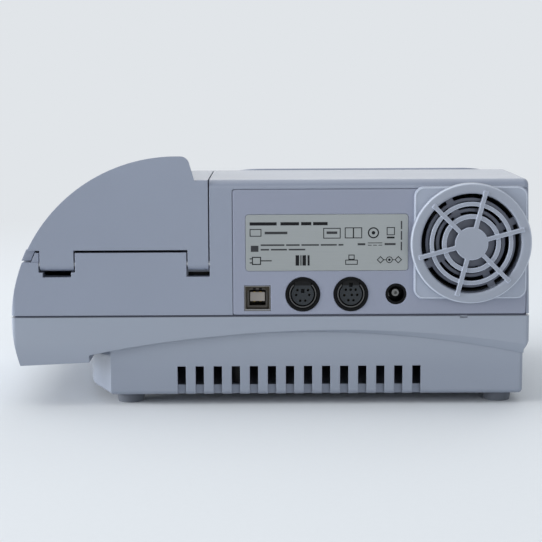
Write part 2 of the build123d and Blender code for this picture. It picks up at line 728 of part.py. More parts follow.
# The lip runs down the dome's side and ends short of the back, so that it clears the case as the lid turns
def lip_flange():
    flange = dome_hull(-LIP_PROUD, DOME_FLANK_X) & along_z(plan_outline(0, 0), LIP_Z, LID_EDGE_Z)
    return flange & block(DOME_X, FAR, -FAR, LIP_REAR_Y, LIP_Z, LID_EDGE_Z)


def lid_shell():
    lid = lid_block(0, rounded_dome()) + lip_flange()
    lid -= lid_block(LID_WALL, dome_hull(LID_WALL, DOME_FLANK_X + LID_WALL))
    lid &= block(LID_X, FAR, -FAR, FAR, LIP_Z, FAR)
    lid -= lid_edge_cutters()
    lid += [hinge_tab(TAB_FAR_LOW_X, TAB_FAR_HIGH_X), hinge_tab(LID_X, TAB_NEAR_HIGH_X)]
    return lid - rod_x(HINGE_Y, HINGE_Z, PIN_R + PIN_CLEARANCE, LID_X - WALL, TAB_FAR_HIGH_X + WALL)


def lid_liner():
    top = LINER_LOW_Z + LINER_THICKNESS
    liner = bay_region(LINER_INSET, LINER_INSET, LID_X + LINER_INSET, LINER_LOW_Z, top)
    low = DECK_Z + SEAL_HEIGHT + SEAL_GAP
    radius = FLANGE_R + SEAL_GAP
    outer = well_block(
        SEAL_INNER_X + 2 * SEAL_WIDTH, SEAL_INNER_Y + 2 * SEAL_WIDTH, radius + SEAL_WIDTH, low, LINER_LOW_Z
    )
    return liner + outer - well_block(SEAL_INNER_X, SEAL_INNER_Y, radius, low, LINER_LOW_Z)


def lid_magnet():
    top = LINER_LOW_Z + LINER_THICKNESS
    return rod_z(WELL_X, MAGNET_Y, MAGNET_R, top, top + MAGNET_HEIGHT)


# Bay under the lid
def bay_deck():
    deck = bay_region(
        SEAT_INSET + DECK_GAP, REAR_WALL + DECK_GAP, SEAM_X + DECK_GAP, DECK_BOTTOM_Z, DECK_Z
    )
    for recess in (FAR_RECESS, NEAR_RECESS):
        low = recess[0] - POCKET_WALL - DECK_GAP
        high = recess[1] + POCKET_WALL + DECK_GAP
        deck -= block(low, high, KNUCKLE_FRONT_Y - POCKET_WALL - DECK_GAP, BACK_Y, DECK_BOTTOM_Z, DECK_Z)
    grow = 2 * (HOLDER_WALL + HOLDER_GAP)
    hole_r = WELL_CORNER_R + HOLDER_WALL + HOLDER_GAP
    return deck - well_block(WELL_WIDTH + grow, WELL_LENGTH + grow, hole_r, DECK_BOTTOM_Z, DECK_Z)


def cartridge_holder():
    outer_r = WELL_CORNER_R + HOLDER_WALL
    flange_x = HOLDER_WIDTH + 2 * HOLDER_FLANGE
    flange_y = HOLDER_LENGTH + 2 * HOLDER_FLANGE
    cup = well_block(HOLDER_WIDTH, HOLDER_LENGTH, outer_r, HOLDER_BOTTOM_Z, DECK_Z)
    cup += well_block(flange_x, flange_y, FLANGE_R, DECK_Z, FLANGE_TOP_Z)
    cup -= well_block(WELL_WIDTH, WELL_LENGTH, WELL_CORNER_R, HOLDER_BOTTOM_Z + HOLDER_WALL, FLANGE_TOP_Z)
    return cup - rod_x(WELL_Y, OPTIC_Z, OPTIC_PORT_R, WELL_X - HOLDER_WIDTH, WELL_X)


def light_seal():
    radius = FLANGE_R + SEAL_GAP
    top = DECK_Z + SEAL_HEIGHT
    ring = well_block(
        SEAL_INNER_X + 2 * SEAL_WIDTH, SEAL_INNER_Y + 2 * SEAL_WIDTH, radius + SEAL_WIDTH, DECK_Z, top
    )
    return ring - well_block(SEAL_INNER_X, SEAL_INNER_Y, radius, DECK_Z, top)


def heater_block():
    grow = 2 * (HOLDER_GAP + HEATER_WALL)
    inner_r = WELL_CORNER_R + HOLDER_WALL + HOLDER_GAP
    high = HEATER_LOW_Z + HEATER_HEIGHT
    sleeve = well_block(
        HOLDER_WIDTH + grow, HOLDER_LENGTH + grow, inner_r + HEATER_WALL, HEATER_LOW_Z, high
    )
    sleeve -= well_block(
        HOLDER_WIDTH + 2 * HOLDER_GAP, HOLDER_LENGTH + 2 * HOLDER_GAP, inner_r, HEATER_LOW_Z, high
    )
    return sleeve - rod_x(WELL_Y, OPTIC_Z, OPTIC_PORT_R, HEATER_FACE_X, WELL_X)


def optic_box(x0, x1, margin):
    half_y = WELL_LENGTH / 2 - HEATER_LIFT + margin
    half_z = OPTIC_HEIGHT / 2 + margin
    return block(x0, x1, WELL_Y - half_y, WELL_Y + half_y, OPTIC_Z - half_z, OPTIC_Z + half_z)


def optical_block():
    body = optic_box(OPTIC_LOW_X, HEATER_FACE_X, 0)
    body -= rod_x(WELL_Y, OPTIC_Z, OPTIC_PORT_R, OPTIC_LOW_X, HEATER_FACE_X)
    middle = (OPTIC_LOW_X + HEATER_FACE_X) / 2
    return body - rod_y(middle, OPTIC_Z, OPTIC_PORT_R, WELL_Y, WELL_Y - WELL_LENGTH)


def lamp_board():
    return optic_box(OPTIC_LOW_X - BOARD_THICKNESS, OPTIC_LOW_X, LAMP_BOARD_MARGIN)


def detector_board():
    front = WELL_Y - WELL_LENGTH / 2 + HEATER_LIFT
    rear = front - BOARD_THICKNESS
    half_z = OPTIC_HEIGHT / 2 + LAMP_BOARD_MARGIN
    return block(OPTIC_LOW_X, HEATER_FACE_X, rear, front, OPTIC_Z - half_z, OPTIC_Z + half_z)


def lid_sensor():
    outline = Pos(WELL_X, MAGNET_Y) * Rectangle(SENSOR_SIZE, SENSOR_SIZE)
    return along_z(outline, DECK_BOTTOM_Z - SENSOR_HEIGHT, DECK_BOTTOM_Z)


# Lower case: an upper band over a stepped pedestal, divided by a shallow arch
def arch_z(x, crest_x, crest_z, radius):
    return crest_z - radius + math.sqrt(radius**2 - (x - crest_x) ** 2)


def arch_face(crest_x, crest_z, radius):
    left = -HALF_WIDTH - WALL
    right_top = (ARCH_END_X, arch_z(ARCH_END_X, crest_x, crest_z, radius))
    left_top = (left, arch_z(left, crest_x, crest_z, radius))
    outline = Line((ARCH_END_X, -WALL), right_top)
    outline += ThreePointArc(right_top, (crest_x, crest_z), left_top)
    outline += Line(left_top, (left, -WALL))
    outline += Line((left, -WALL), (ARCH_END_X, -WALL))
    return make_face(outline)


def low_arch(lift):
    return arch_face(ARCH_LOW_CREST_X, ARCH_LOW_CREST_Z + lift, ARCH_LOW_R)


# The arch between the low one, one step inside the face, and the high one on the face itself
def arch_between(steps):
    crest_x = ARCH_LOW_CREST_X + steps * (ARCH_HIGH_CREST_X - ARCH_LOW_CREST_X)
    crest_z = ARCH_LOW_CREST_Z + steps * (ARCH_HIGH_CREST_Z - ARCH_LOW_CREST_Z)
    return arch_face(crest_x, crest_z, ARCH_LOW_R + steps * (ARCH_HIGH_R - ARCH_LOW_R))


def slanted_arch(face_y, inward):
    near = Plane.XZ.offset(-face_y + inward * PEDESTAL_STEP * -1) * arch_between(2)
    far = Plane.XZ.offset(-face_y + inward * PEDESTAL_STEP * 2) * arch_between(-1)
    return loft([near, far])


def band_profile(inset, high_z):
    x = HALF_WIDTH - inset
    foot = (UNDERSIDE_X - inset, UNDERSIDE_Z + inset)
    bend_x = PEDESTAL_X - UNDERSIDE_LAP
    bend_z = foot[1] + math.tan(math.radians(UNDERSIDE_RISE)) * (foot[0] - bend_x)
    bulge = ((x + foot[0]) / 2 + BAND_BULGE, (high_z + foot[1]) / 2)
    outline = ThreePointArc((x, high_z), bulge, foot)
    outline += Line(foot, (bend_x, bend_z))
    outline += Line((bend_x, bend_z), (-x, bend_z))
    outline += Line((-x, bend_z), (-x, high_z))
    outline += Line((-x, high_z), (x, high_z))
    return make_face(outline)


def band_block(inset, high_z):
    band = along_y(band_profile(inset, high_z), BACK_Y, FRONT_Y)
    return band & along_z(plan_outline(inset, inset), 0, TOP_Z)


def pedestal_plan(inset):
    left = PEDESTAL_STEP - HALF_WIDTH
    rear = BACK_Y - PEDESTAL_STEP
    front = FRONT_Y + PEDESTAL_FRONT_STEP
    points = [
        (left, rear),
        (PEDESTAL_X, rear),
        (PEDESTAL_X + PEDESTAL_FLARE_X, rear - PEDESTAL_FLARE_Y),
        (PEDESTAL_FRONT_X, front),
        (left, front),
    ]
    plan = polygon(points, [PEDESTAL_REAR_R, 0, PEDESTAL_FLARE_R, PEDESTAL_FRONT_R, FRONT_CORNER_R])
    return offset(plan, amount=-inset, kind=Kind.INTERSECTION) if inset else plan


def lower_posts():
    posts = []
    for x, y in FOOT_PLACES:
        wall_y = POST_REAR_WALL_Y + WALL / 2 if y > 0 else POST_FRONT_WALL_Y - WALL / 2
        half = RIB_WIDTH / 2
        post = rod_z(x, y, POST_R, PLATE_BOSS_TOP_Z, GROOVE_TOP_Z)
        post += block(x - half, x + half, min(y, wall_y), max(y, wall_y), PLATE_BOSS_TOP_Z, UNDERSIDE_Z)
        posts.append(post - rod_z(x, y, SCREW_R + SCREW_CLEARANCE, PLATE_BOSS_TOP_Z, GROOVE_TOP_Z))
    return posts


def vent_slots():
    slots = []
    for i in range(SLOT_COUNT):
        x = SLOT_FIRST_X - i * SLOT_PITCH
        half = SLOT_WIDTH / 2
        slots.append(block(x - half, x + half, POST_REAR_WALL_Y - WALL, BACK_Y, 0, SLOT_TOP_Z))
    return slots


def lower_case():
    band = band_block(0, GROOVE_TOP_Z)
    band -= along_y(low_arch(0), BACK_Y + WALL, FRONT_Y - WALL)
    band -= slanted_arch(BACK_Y, 1)
    band -= slanted_arch(FRONT_Y, -1)
    side = [
        (-HALF_WIDTH - WALL, SIDE_CHAMFER_TOP_Z + WALL * SIDE_CHAMFER_HEIGHT / PEDESTAL_STEP),
        (-HALF_WIDTH + PEDESTAL_STEP, SIDE_CHAMFER_TOP_Z - SIDE_CHAMFER_HEIGHT),
        (-HALF_WIDTH + PEDESTAL_STEP, 0),
        (-HALF_WIDTH - WALL, 0),
    ]
    band -= along_y(make_face(Polyline(*side, close=True)), BACK_Y + WALL, FRONT_Y - WALL)
    pedestal = along_z(pedestal_plan(0), PEDESTAL_BOTTOM_Z, GROOVE_BOTTOM_Z)
    pedestal = fillet(pedestal.faces().sort_by(Axis.Z)[0].edges(), PEDESTAL_EDGE_R)
    case = band + pedestal
    case -= band_block(WALL, GROOVE_TOP_Z + WALL) - along_y(low_arch(WALL), BACK_Y, FRONT_Y)
    case -= along_z(pedestal_plan(WALL), 0, GROOVE_TOP_Z + WALL)
    groove = plan_outline(-WALL, -WALL) - plan_outline(GROOVE_DEPTH, GROOVE_DEPTH)
    case -= along_z(groove, GROOVE_BOTTOM_Z, GROOVE_TOP_Z + WALL)
    case += lower_posts()
    case -= vent_slots()
    low = SPLIT_NOTCH_X - SPLIT_NOTCH_WIDTH / 2
    notch_z = GROOVE_BOTTOM_Z - GROOVE_HEIGHT
    notch = block(low, low + SPLIT_NOTCH_WIDTH, BACK_Y - GROOVE_DEPTH, BACK_Y + WALL, notch_z, GROOVE_TOP_Z)
    return case - notch


# Base plate and feet
def plate_edge(inset, low, high):
    return along_z(pedestal_plan(WALL + PLATE_GAP + inset), low, high)


def base_plate():
    plate = plate_edge(0, PEDESTAL_BOTTOM_Z, PEDESTAL_BOTTOM_Z + PLATE_RIM_HEIGHT)
    plate -= plate_edge(PLATE_RIM_WIDTH, PLATE_TOP_Z, PEDESTAL_BOTTOM_Z + PLATE_RIM_HEIGHT)
    for x, y in FOOT_PLACES:
        plate += rod_z(x, y, PLATE_BOSS_R, PEDESTAL_BOTTOM_Z, PLATE_BOSS_TOP_Z)
    for x, y in FOOT_PLACES:
        seat = PEDESTAL_BOTTOM_Z + SCREW_HEAD_HEIGHT + SCREW_CLEARANCE
        plate -= rod_z(x, y, SCREW_HEAD_R + SCREW_CLEARANCE, PEDESTAL_BOTTOM_Z, seat)
        plate -= rod_z(x, y, SCREW_R + SCREW_CLEARANCE, PEDESTAL_BOTTOM_Z, PLATE_BOSS_TOP_Z)
    return plate


def feet():
    plane = Plane.XY
    feet = []
    for x, y in FOOT_PLACES:
        low = plane * Pos(x, y) * Circle(FOOT_R - FOOT_TAPER)
        high = plane.offset(PEDESTAL_BOTTOM_Z) * Pos(x, y) * Circle(FOOT_R)
        feet.append(loft([low, high]))
    return feet


def case_screws():
    screws = []
    for x, y in FOOT_PLACES:
        seat = PEDESTAL_BOTTOM_Z + SCREW_HEAD_HEIGHT + SCREW_CLEARANCE
        head = rod_z(x, y, SCREW_HEAD_R, seat - SCREW_HEAD_HEIGHT, seat)
        screws.append(head + rod_z(x, y, SCREW_R, seat, GROOVE_TOP_Z + SCREW_BITE))
    return screws


# Rear panel and its label plate
def panel_outline():
    width = PANEL_HIGH_X - PANEL_LOW_X
    height = PANEL_TOP_Z - GROOVE_TOP_Z
    middle = Pos((PANEL_HIGH_X + PANEL_LOW_X) / 2, (PANEL_TOP_Z + GROOVE_TOP_Z) / 2)
    return middle * RectangleRounded(width, height, PANEL_CORNER_R)


def label_outline(grow):
    width = LABEL_WIDTH + 2 * grow
    height = LABEL_HEIGHT + 2 * grow
    return Pos(LABEL_X, LABEL_Z) * RectangleRounded(width, height, LABEL_CORNER_R + grow)


def usb_outline(grow):
    return Pos(USB_X, USB_Z) * Rectangle(USB_WIDTH + 2 * grow, USB_HEIGHT + 2 * grow)


def port_holes():
    return [
        along_y(usb_outline(PORT_GAP), BACK_Y, PANEL_BACK_Y),
        rod_y(DIN_SCANNER_X, DIN_Z, DIN_R + PORT_GAP, BACK_Y, PANEL_BACK_Y),
        rod_y(DIN_PRINTER_X, DIN_Z, DIN_R + PORT_GAP, BACK_Y, PANEL_BACK_Y),
        rod_y(JACK_X, JACK_Z, JACK_R + PORT_GAP, BACK_Y, PANEL_BACK_Y),
    ]


def rear_panel():
    panel = along_y(panel_outline(), PANEL_FACE_Y, PANEL_BACK_Y)
    panel = fillet(panel.faces().sort_by(Axis.Y)[-1].edges(), PANEL_EDGE_R)
    panel -= along_y(label_outline(LABEL_GAP), BACK_Y, PANEL_FACE_Y + LABEL_PROUD - LABEL_THICKNESS)
    panel -= port_holes()
    panel -= rod_y(GUARD_X, GUARD_Z, GUARD_OPENING_R, BACK_Y, PANEL_BACK_Y)
    for dx, dz in FAN_HOLES:
        panel -= rod_y(GUARD_X + dx, GUARD_Z + dz, FAN_HOLE_R, BACK_Y, PANEL_BACK_Y)
    return panel


def label_plate():
    face = PANEL_FACE_Y + LABEL_PROUD
    return along_y(label_outline(0), face, face - LABEL_THICKNESS)


# Fan guard: a square base with one grille layer, and a round cover with another
def at_guard(angle, profile):
    return Pos(GUARD_X, GUARD_Z) * Rot(0, 0, angle) * profile


def grille_ring(radius, width):
    ring = Circle(radius + width / 2) - Circle(radius - width / 2)
    return at_guard(0, ring)


def grille_spokes(count, first_angle, width, reach):
    spokes = []
    for i in range(count):
        angle = 180 - first_angle - i * 360 / count
        spokes.append(at_guard(angle, Pos(reach / 2, 0) * Rectangle(reach, width)))
    return spokes


def fan_guard_base():
    plate = at_guard(0, RectangleRounded(GUARD_SIZE, GUARD_SIZE, GUARD_CORNER_R) - Circle(GUARD_OPENING_R))
    base = along_y(plate, BASE_FACE_Y, PANEL_FACE_Y)
    base = fillet(base.faces().sort_by(Axis.Y)[-1].outer_wire().edges(), PANEL_EDGE_R)
    front = PANEL_FACE_Y + BASE_GRILLE_DEPTH
    reach = GUARD_OPENING_R + BASE_RING_WIDTH
    layer = at_guard(0, Circle(BASE_HUB_R))
    layer += grille_ring(BASE_INNER_RING_R, BASE_RING_WIDTH)
    layer += grille_ring(BASE_OUTER_RING_R, BASE_RING_WIDTH)
    layer += grille_spokes(BASE_SPOKES, BASE_SPOKE_ANGLE, BASE_SPOKE_WIDTH, reach)
    base += along_y(layer, front, PANEL_FACE_Y)
    bore_r = FAN_SCREW_R + PIN_SEAT_CLEARANCE
    for dx, dz in FAN_HOLES:
        base -= rod_y(GUARD_X + dx, GUARD_Z + dz, bore_r, FAN_SCREW_END_Y, PANEL_FACE_Y)
    return base


def fan_guard_cover():
    rim = along_y(at_guard(0, Circle(COVER_R) - Circle(GUARD_OPENING_R)), COVER_FACE_Y, BASE_FACE_Y)
    rim = fillet(rim.faces().sort_by(Axis.Y)[-1].edges(), COVER_EDGE_R)
    low = COVER_FACE_Y - COVER_RING_DEPTH
    layer = at_guard(0, Circle(COVER_HUB_R))
    layer += grille_ring(COVER_INNER_RING_R, COVER_INNER_RING_WIDTH)
    layer += grille_ring(COVER_OUTER_RING_R, COVER_OUTER_RING_WIDTH)
    spokes = grille_spokes(COVER_SPOKES, COVER_SPOKE_ANGLE, COVER_SPOKE_WIDTH, COVER_SPOKE_REACH)
    cover = rim + along_y(layer, COVER_FACE_Y, low)
    for spoke in spokes:
        cover += along_y(spoke, COVER_FACE_Y + GUARD_SPOKE_RISE, low)
    return cover + along_y(at_guard(0, Circle(COVER_HUB_R)), COVER_FACE_Y + GUARD_SPOKE_RISE, low)


# Fan, behind the rear panel
def fan_frame():
    outline = RectangleRounded(FAN_SIZE, FAN_SIZE, FAN_CORNER_R) - Circle(FAN_BORE_R)
    frame = along_y(at_guard(0, outline), PANEL_BACK_Y, FAN_BACK_Y)
    struts = at_guard(0, Circle(FAN_MOTOR_R))
    struts += grille_spokes(FAN_STRUTS, BASE_SPOKE_ANGLE, FAN_STRUT_WIDTH, FAN_BORE_R + FAN_CORNER_R / 2)
    frame += along_y(struts, FAN_BACK_Y + FAN_STRUT_DEPTH, FAN_BACK_Y)
    frame += rod_y(GUARD_X, GUARD_Z, FAN_BEARING_R, FAN_BEARING_Y, FAN_BACK_Y)
    frame -= rod_y(GUARD_X, GUARD_Z, FAN_SHAFT_R + FAN_SHAFT_CLEARANCE, FAN_BEARING_Y, FAN_BACK_Y)
    for dx, dz in FAN_HOLES:
        frame -= rod_y(GUARD_X + dx, GUARD_Z + dz, FAN_HOLE_R, PANEL_BACK_Y, FAN_BACK_Y)
    return frame


def blade_section(radius, pitch):
    lean = math.radians(pitch)
    plane = Plane(origin=(radius, 0, 0), x_dir=(0, math.cos(lean), math.sin(lean)), z_dir=(1, 0, 0))
    return plane * Ellipse(FAN_BLADE_CHORD / 2, FAN_BLADE_THICKNESS / 2)


def fan_rotor():
    depth = ROTOR_BACK_Y - ROTOR_FRONT_Y
    rotor = extrude(Pos(0, 0, -depth / 2) * Circle(FAN_HUB_R), amount=depth)
    tip = FAN_BORE_R - FAN_TIP_GAP
    blade = loft([blade_section(FAN_HUB_R / 2, FAN_ROOT_PITCH), blade_section(tip, FAN_TIP_PITCH)])
    for i in range(FAN_BLADES):
        rotor += Rot(0, 0, i * 360 / FAN_BLADES) * blade
    rotor -= extrude(Pos(0, 0, -depth / 2) * Circle(FAN_HUB_R - FAN_HUB_WALL), amount=depth - FAN_HUB_WALL)
    rotor += extrude(Pos(0, 0, -depth / 2) * Circle(FAN_SHAFT_R), amount=depth)
    return Pos(GUARD_X, (ROTOR_BACK_Y + ROTOR_FRONT_Y) / 2, GUARD_Z) * Rot(-90, 0, 0) * rotor


def fan_screws():
    screws = []
    for dx, dz in FAN_HOLES:
        x = GUARD_X + dx
        z = GUARD_Z + dz
        head = rod_y(x, z, FAN_SCREW_HEAD_R, FAN_BACK_Y, FAN_BACK_Y - FAN_SCREW_HEAD_HEIGHT)
        screws.append(head + rod_y(x, z, FAN_SCREW_R, FAN_SCREW_END_Y, FAN_BACK_Y))
    return screws


# Sockets on the rear panel
def usb_shell():
    half = USB_WIDTH / 2 - USB_WALL
    low = USB_Z - USB_HEIGHT / 2 + USB_WALL
    high = USB_Z + USB_HEIGHT / 2 - USB_WALL
    inside = [
        (USB_X - half, low),
        (USB_X + half, low),
        (USB_X + half, high - USB_CHAMFER),
        (USB_X + half - USB_CHAMFER, high),
        (USB_X - half + USB_CHAMFER, high),
        (USB_X - half, high - USB_CHAMFER),
    ]
    shell = along_y(usb_outline(0), PANEL_FACE_Y, PANEL_FACE_Y - USB_DEPTH)
    return shell - along_y(make_face(Polyline(*inside, close=True)), BACK_Y, USB_FLOOR_Y)


def usb_tongue():
    outline = Pos(USB_X, USB_Z + USB_TONGUE_RISE) * Rectangle(USB_TONGUE_WIDTH, USB_TONGUE_HEIGHT)
    return along_y(outline, PANEL_FACE_Y - USB_TONGUE_SINK, USB_FLOOR_Y)


def din_socket(x):
    socket = rod_y(x, DIN_Z, DIN_R, DIN_FACE_Y, PORT_SHOULDER_Y)
    half = DIN_BODY_WIDTH / 2
    back = DIN_FACE_Y - DIN_DEPTH
    socket += block(x - half, x + half, back, PORT_SHOULDER_Y + PORT_SHOULDER, MAIN_BOARD_TOP_Z, DIN_Z + half)
    return socket - rod_y(x, DIN_Z, DIN_BORE_R, DIN_FACE_Y, DIN_FLOOR_Y)


def scanner_socket():
    return din_socket(DIN_SCANNER_X)


def printer_socket():
    return din_socket(DIN_PRINTER_X)


def din_insert(x, holes, key):
    outline = Circle(DIN_INSERT_R) + Pos(0, DIN_BORE_R / 2) * Rectangle(DIN_BLOCK_WIDTH, DIN_BORE_R)
    outline &= Circle(DIN_BORE_R - PIN_SEAT_CLEARANCE)
    face = DIN_FACE_Y - DIN_INSERT_SINK
    insert = along_y(Pos(x, DIN_Z) * outline, face, DIN_FLOOR_Y)
    for dx, dz in holes:
        insert -= rod_y(x + dx, DIN_Z + dz, DIN_HOLE_R, face, face - DIN_HOLE_DEPTH)
    return insert - along_y(Pos(x, DIN_Z) * key, face, face - DIN_HOLE_DEPTH)


def scanner_insert():
    holes = [(side * dx, dz) for dx, dz in SIX_HOLES for side in (-1, 1)]
    key = Pos(0, KEY_SLOT_RISE) * Rectangle(KEY_SLOT_WIDTH, KEY_SLOT_HEIGHT)
    return din_insert(DIN_SCANNER_X, holes, key)


def printer_insert():
    holes = [(-dx, dz) for dx, dz in TOP_HOLES + MIDDLE_HOLES + LOW_HOLES]
    key = Pos(0, DIN_INSERT_R - KEY_SLOT_HEIGHT / 2) * Rectangle(KEY_SLOT_WIDTH, KEY_SLOT_HEIGHT)
    return din_insert(DIN_PRINTER_X, holes, key)


def socket_shields():
    ring = Circle(SHIELD_R) - Circle(SHIELD_R - SHIELD_THICKNESS)
    half = math.radians(SHIELD_OPENING / 2)
    across = 2 * SHIELD_R * math.sin(half)
    up = 2 * SHIELD_R * math.cos(half)
    ring -= make_face(Polyline((0, 0), (across, up), (-across, up), close=True))
    face = DIN_FACE_Y - DIN_INSERT_SINK / 2
    return [along_y(Pos(x, DIN_Z) * ring, face, DIN_FLOOR_Y) for x in (DIN_SCANNER_X, DIN_PRINTER_X)]


def power_jack():
    jack = rod_y(JACK_X, JACK_Z, JACK_R, PANEL_FACE_Y, PORT_SHOULDER_Y)
    half = JACK_BODY_WIDTH / 2
    back = PANEL_FACE_Y - JACK_DEPTH
    top = JACK_Z + JACK_R + JACK_BODY_MARGIN
    jack += block(JACK_X - half, JACK_X + half, back, PORT_SHOULDER_Y + PORT_SHOULDER, MAIN_BOARD_TOP_Z, top)
    return jack - rod_y(JACK_X, JACK_Z, JACK_BORE_R, PANEL_FACE_Y, PANEL_FACE_Y - JACK_BORE_DEPTH)


def power_jack_pin():
    face = PANEL_FACE_Y - JACK_PIN_SINK
    pin = rod_y(JACK_X, JACK_Z, JACK_PIN_R, face, PANEL_FACE_Y - JACK_BORE_DEPTH)
    return pin - rod_y(JACK_X, JACK_Z, JACK_PIN_HOLE_R, face, face - DIN_HOLE_DEPTH)


# Main board
def main_board():
    across = (MAIN_BOARD_LOW_X, MAIN_BOARD_HIGH_X)
    board = block(*across, MAIN_BOARD_FRONT_Y, MAIN_BOARD_REAR_Y, MAIN_BOARD_LOW_Z, MAIN_BOARD_TOP_Z)
    for x, y in PILLAR_PLACES:
        board -= rod_z(x, y, BOARD_SCREW_R + SCREW_CLEARANCE, MAIN_BOARD_LOW_Z, MAIN_BOARD_TOP_Z)
    return board


def board_pillars():
    pillars = []
    for x, y in PILLAR_PLACES:
        pillar = rod_z(x, y, PILLAR_R, PLATE_TOP_Z, MAIN_BOARD_LOW_Z)
        bore = BOARD_SCREW_R + PIN_SEAT_CLEARANCE
        pillars.append(pillar - rod_z(x, y, bore, MAIN_BOARD_LOW_Z - PILLAR_BORE_DEPTH, MAIN_BOARD_LOW_Z))
    return pillars


def board_screws():
    screws = []
    for x, y in PILLAR_PLACES:
        head = rod_z(x, y, BOARD_SCREW_HEAD_R, MAIN_BOARD_TOP_Z, MAIN_BOARD_TOP_Z + BOARD_SCREW_HEAD_HEIGHT)
        shank = rod_z(x, y, BOARD_SCREW_R, MAIN_BOARD_LOW_Z - BOARD_SCREW_BITE, MAIN_BOARD_TOP_Z)
        screws.append(head + shank)
    return screws


def processor_chip():
    x = (MAIN_BOARD_LOW_X + MAIN_BOARD_HIGH_X) / 2
    y = (MAIN_BOARD_FRONT_Y + MAIN_BOARD_REAR_Y) / 2
    half = CHIP_SIZE / 2
    return block(x - half, x + half, y - half, y + half, MAIN_BOARD_TOP_Z, MAIN_BOARD_TOP_Z + CHIP_HEIGHT)


def capacitors():
    x = MAIN_BOARD_LOW_X + CAPACITOR_INSET
    first = MAIN_BOARD_FRONT_Y + CAPACITOR_INSET
    top = MAIN_BOARD_TOP_Z + CAPACITOR_HEIGHT
    places = [(x, first + i * CAPACITOR_PITCH) for i in range(CAPACITOR_COUNT)]
    return [rod_z(x, y, CAPACITOR_R, MAIN_BOARD_TOP_Z, top) for x, y in places]


# Display and keys on the slope
def boss_places():
    dx = DISPLAY_BOARD_WIDTH / 2 - DISPLAY_BOSS_SIDE_INSET
    dy = DISPLAY_BOARD_HEIGHT / 2 - DISPLAY_BOSS_END_INSET
    middle = BEZEL_START + BEZEL_HEIGHT / 2
    return [(BEZEL_X + i * dx, middle + j * dy) for i in (-1, 1) for j in (-1, 1)]


def key_places():
    return [BEZEL_X + (i - 1) * KEY_PITCH for i in range(KEY_COUNT)]


def window_plate(grow, low, high):
    width = WINDOW_WIDTH + 2 * grow
    height = WINDOW_HEIGHT + 2 * grow
    radius = corner(WINDOW_CORNER_R, -grow)
    return slope_plate(BEZEL_X, WINDOW_TOP + WINDOW_HEIGHT / 2, width, height, radius, low, high)


def key_plate(x, grow, low, high):
    width = KEY_WIDTH + 2 * grow
    height = KEY_HEIGHT + 2 * grow
    return slope_plate(x, KEY_MIDDLE, width, height, KEY_CORNER_R + grow, low, high)


def display_bezel():
    bezel = bezel_plate(0, -BEZEL_SINK, BEZEL_PROUD)
    top = bezel.faces().filter_by(on_slope(0, 0, 0)).sort_by(Axis.Z)[-1]
    bezel = fillet(top.edges(), BEZEL_EDGE_R)
    bezel -= window_plate(WINDOW_GAP, BEZEL_PROUD - WINDOW_THICKNESS, BEZEL_PROUD)
    bezel -= window_plate(WINDOW_GAP - WINDOW_LEDGE, -BEZEL_SINK, BEZEL_PROUD)
    for x in key_places():
        bezel -= key_plate(x, KEY_GAP, -BEZEL_SINK, BEZEL_PROUD)
    for x, down in boss_places():
        bezel += slope_pin(x, down, DISPLAY_BOSS_R, BOARD_LIFT, -BEZEL_SINK)
        bezel += slope_pin(x, down, STAKE_R, BOARD_LIFT - BOARD_THICKNESS - STAKE_HEIGHT, BOARD_LIFT)
    return bezel


def display_window():
    return window_plate(0, BEZEL_PROUD - WINDOW_THICKNESS, BEZEL_PROUD)


def display_module():
    return window_plate(-WINDOW_GAP, BOARD_LIFT, -BEZEL_SINK - MODULE_GAP)


def display_board():
    middle = BEZEL_START + BEZEL_HEIGHT / 2
    low = BOARD_LIFT - BOARD_THICKNESS
    board = slope_plate(
        BEZEL_X, middle, DISPLAY_BOARD_WIDTH, DISPLAY_BOARD_HEIGHT, WINDOW_CORNER_R, low, BOARD_LIFT
    )
    for x, down in boss_places():
        board -= slope_pin(x, down, STAKE_R + STAKE_CLEARANCE, low, BOARD_LIFT)
    return board


def key_cap(place):
    x = key_places()[place]
    flange_top = -BEZEL_SINK - KEY_GAP
    cap = key_plate(x, 0, flange_top, BEZEL_PROUD + KEY_RISE)
    top = cap.faces().filter_by(on_slope(0, 0, 0)).sort_by(Axis.Z)[-1]
    cap = fillet(top.edges(), KEY_EDGE_R)
    cap += key_plate(x, KEY_FLANGE, flange_top - KEY_FLANGE_THICKNESS, flange_top)
    stem_end = BOARD_LIFT + SWITCH_HEIGHT + KEY_TRAVEL + KEY_REST_GAP
    return cap + slope_pin(x, KEY_MIDDLE, KEY_STEM_R, stem_end, flange_top)


def key_left():
    return key_cap(0)


def key_middle():
    return key_cap(1)


def key_right():
    return key_cap(2)


def key_switches():
    switches = []
    for x in key_places():
        body = RectangleRounded(SWITCH_SIZE, SWITCH_SIZE, LEAST_CORNER_R)
        switches.append(extrude(on_slope(x, KEY_MIDDLE, BOARD_LIFT) * body, amount=SWITCH_HEIGHT))
    return switches


# One STEP file for each node
NODES = [
    upper_case,
    lower_case,
    base_plate,
    feet,
    case_screws,
    rear_panel,
    label_plate,
    fan_guard_base,
    fan_guard_cover,
    fan_frame,
    fan_rotor,
    fan_screws,
    usb_shell,
    usb_tongue,
    scanner_socket,
    scanner_insert,
    printer_socket,
    printer_insert,
    socket_shields,
    power_jack,
    power_jack_pin,
    main_board,
    board_pillars,
    board_screws,
    processor_chip,
    capacitors,
    display_bezel,
    display_window,
    display_module,
    display_board,
    key_left,
    key_middle,
    key_right,
    key_switches,
    lid_shell,
    lid_liner,
    lid_magnet,
    lid_sensor,
    hinge_pins,
    bay_deck,
    cartridge_holder,
    light_seal,
    heater_block,
    optical_block,
    lamp_board,
    detector_board,
]

os.makedirs("parts", exist_ok=True)
for node in NODES:
    shape = node()
    if isinstance(shape, list):
        shape = Compound(children=shape)
    export_step(shape, f"parts/{node.__name__}.step")
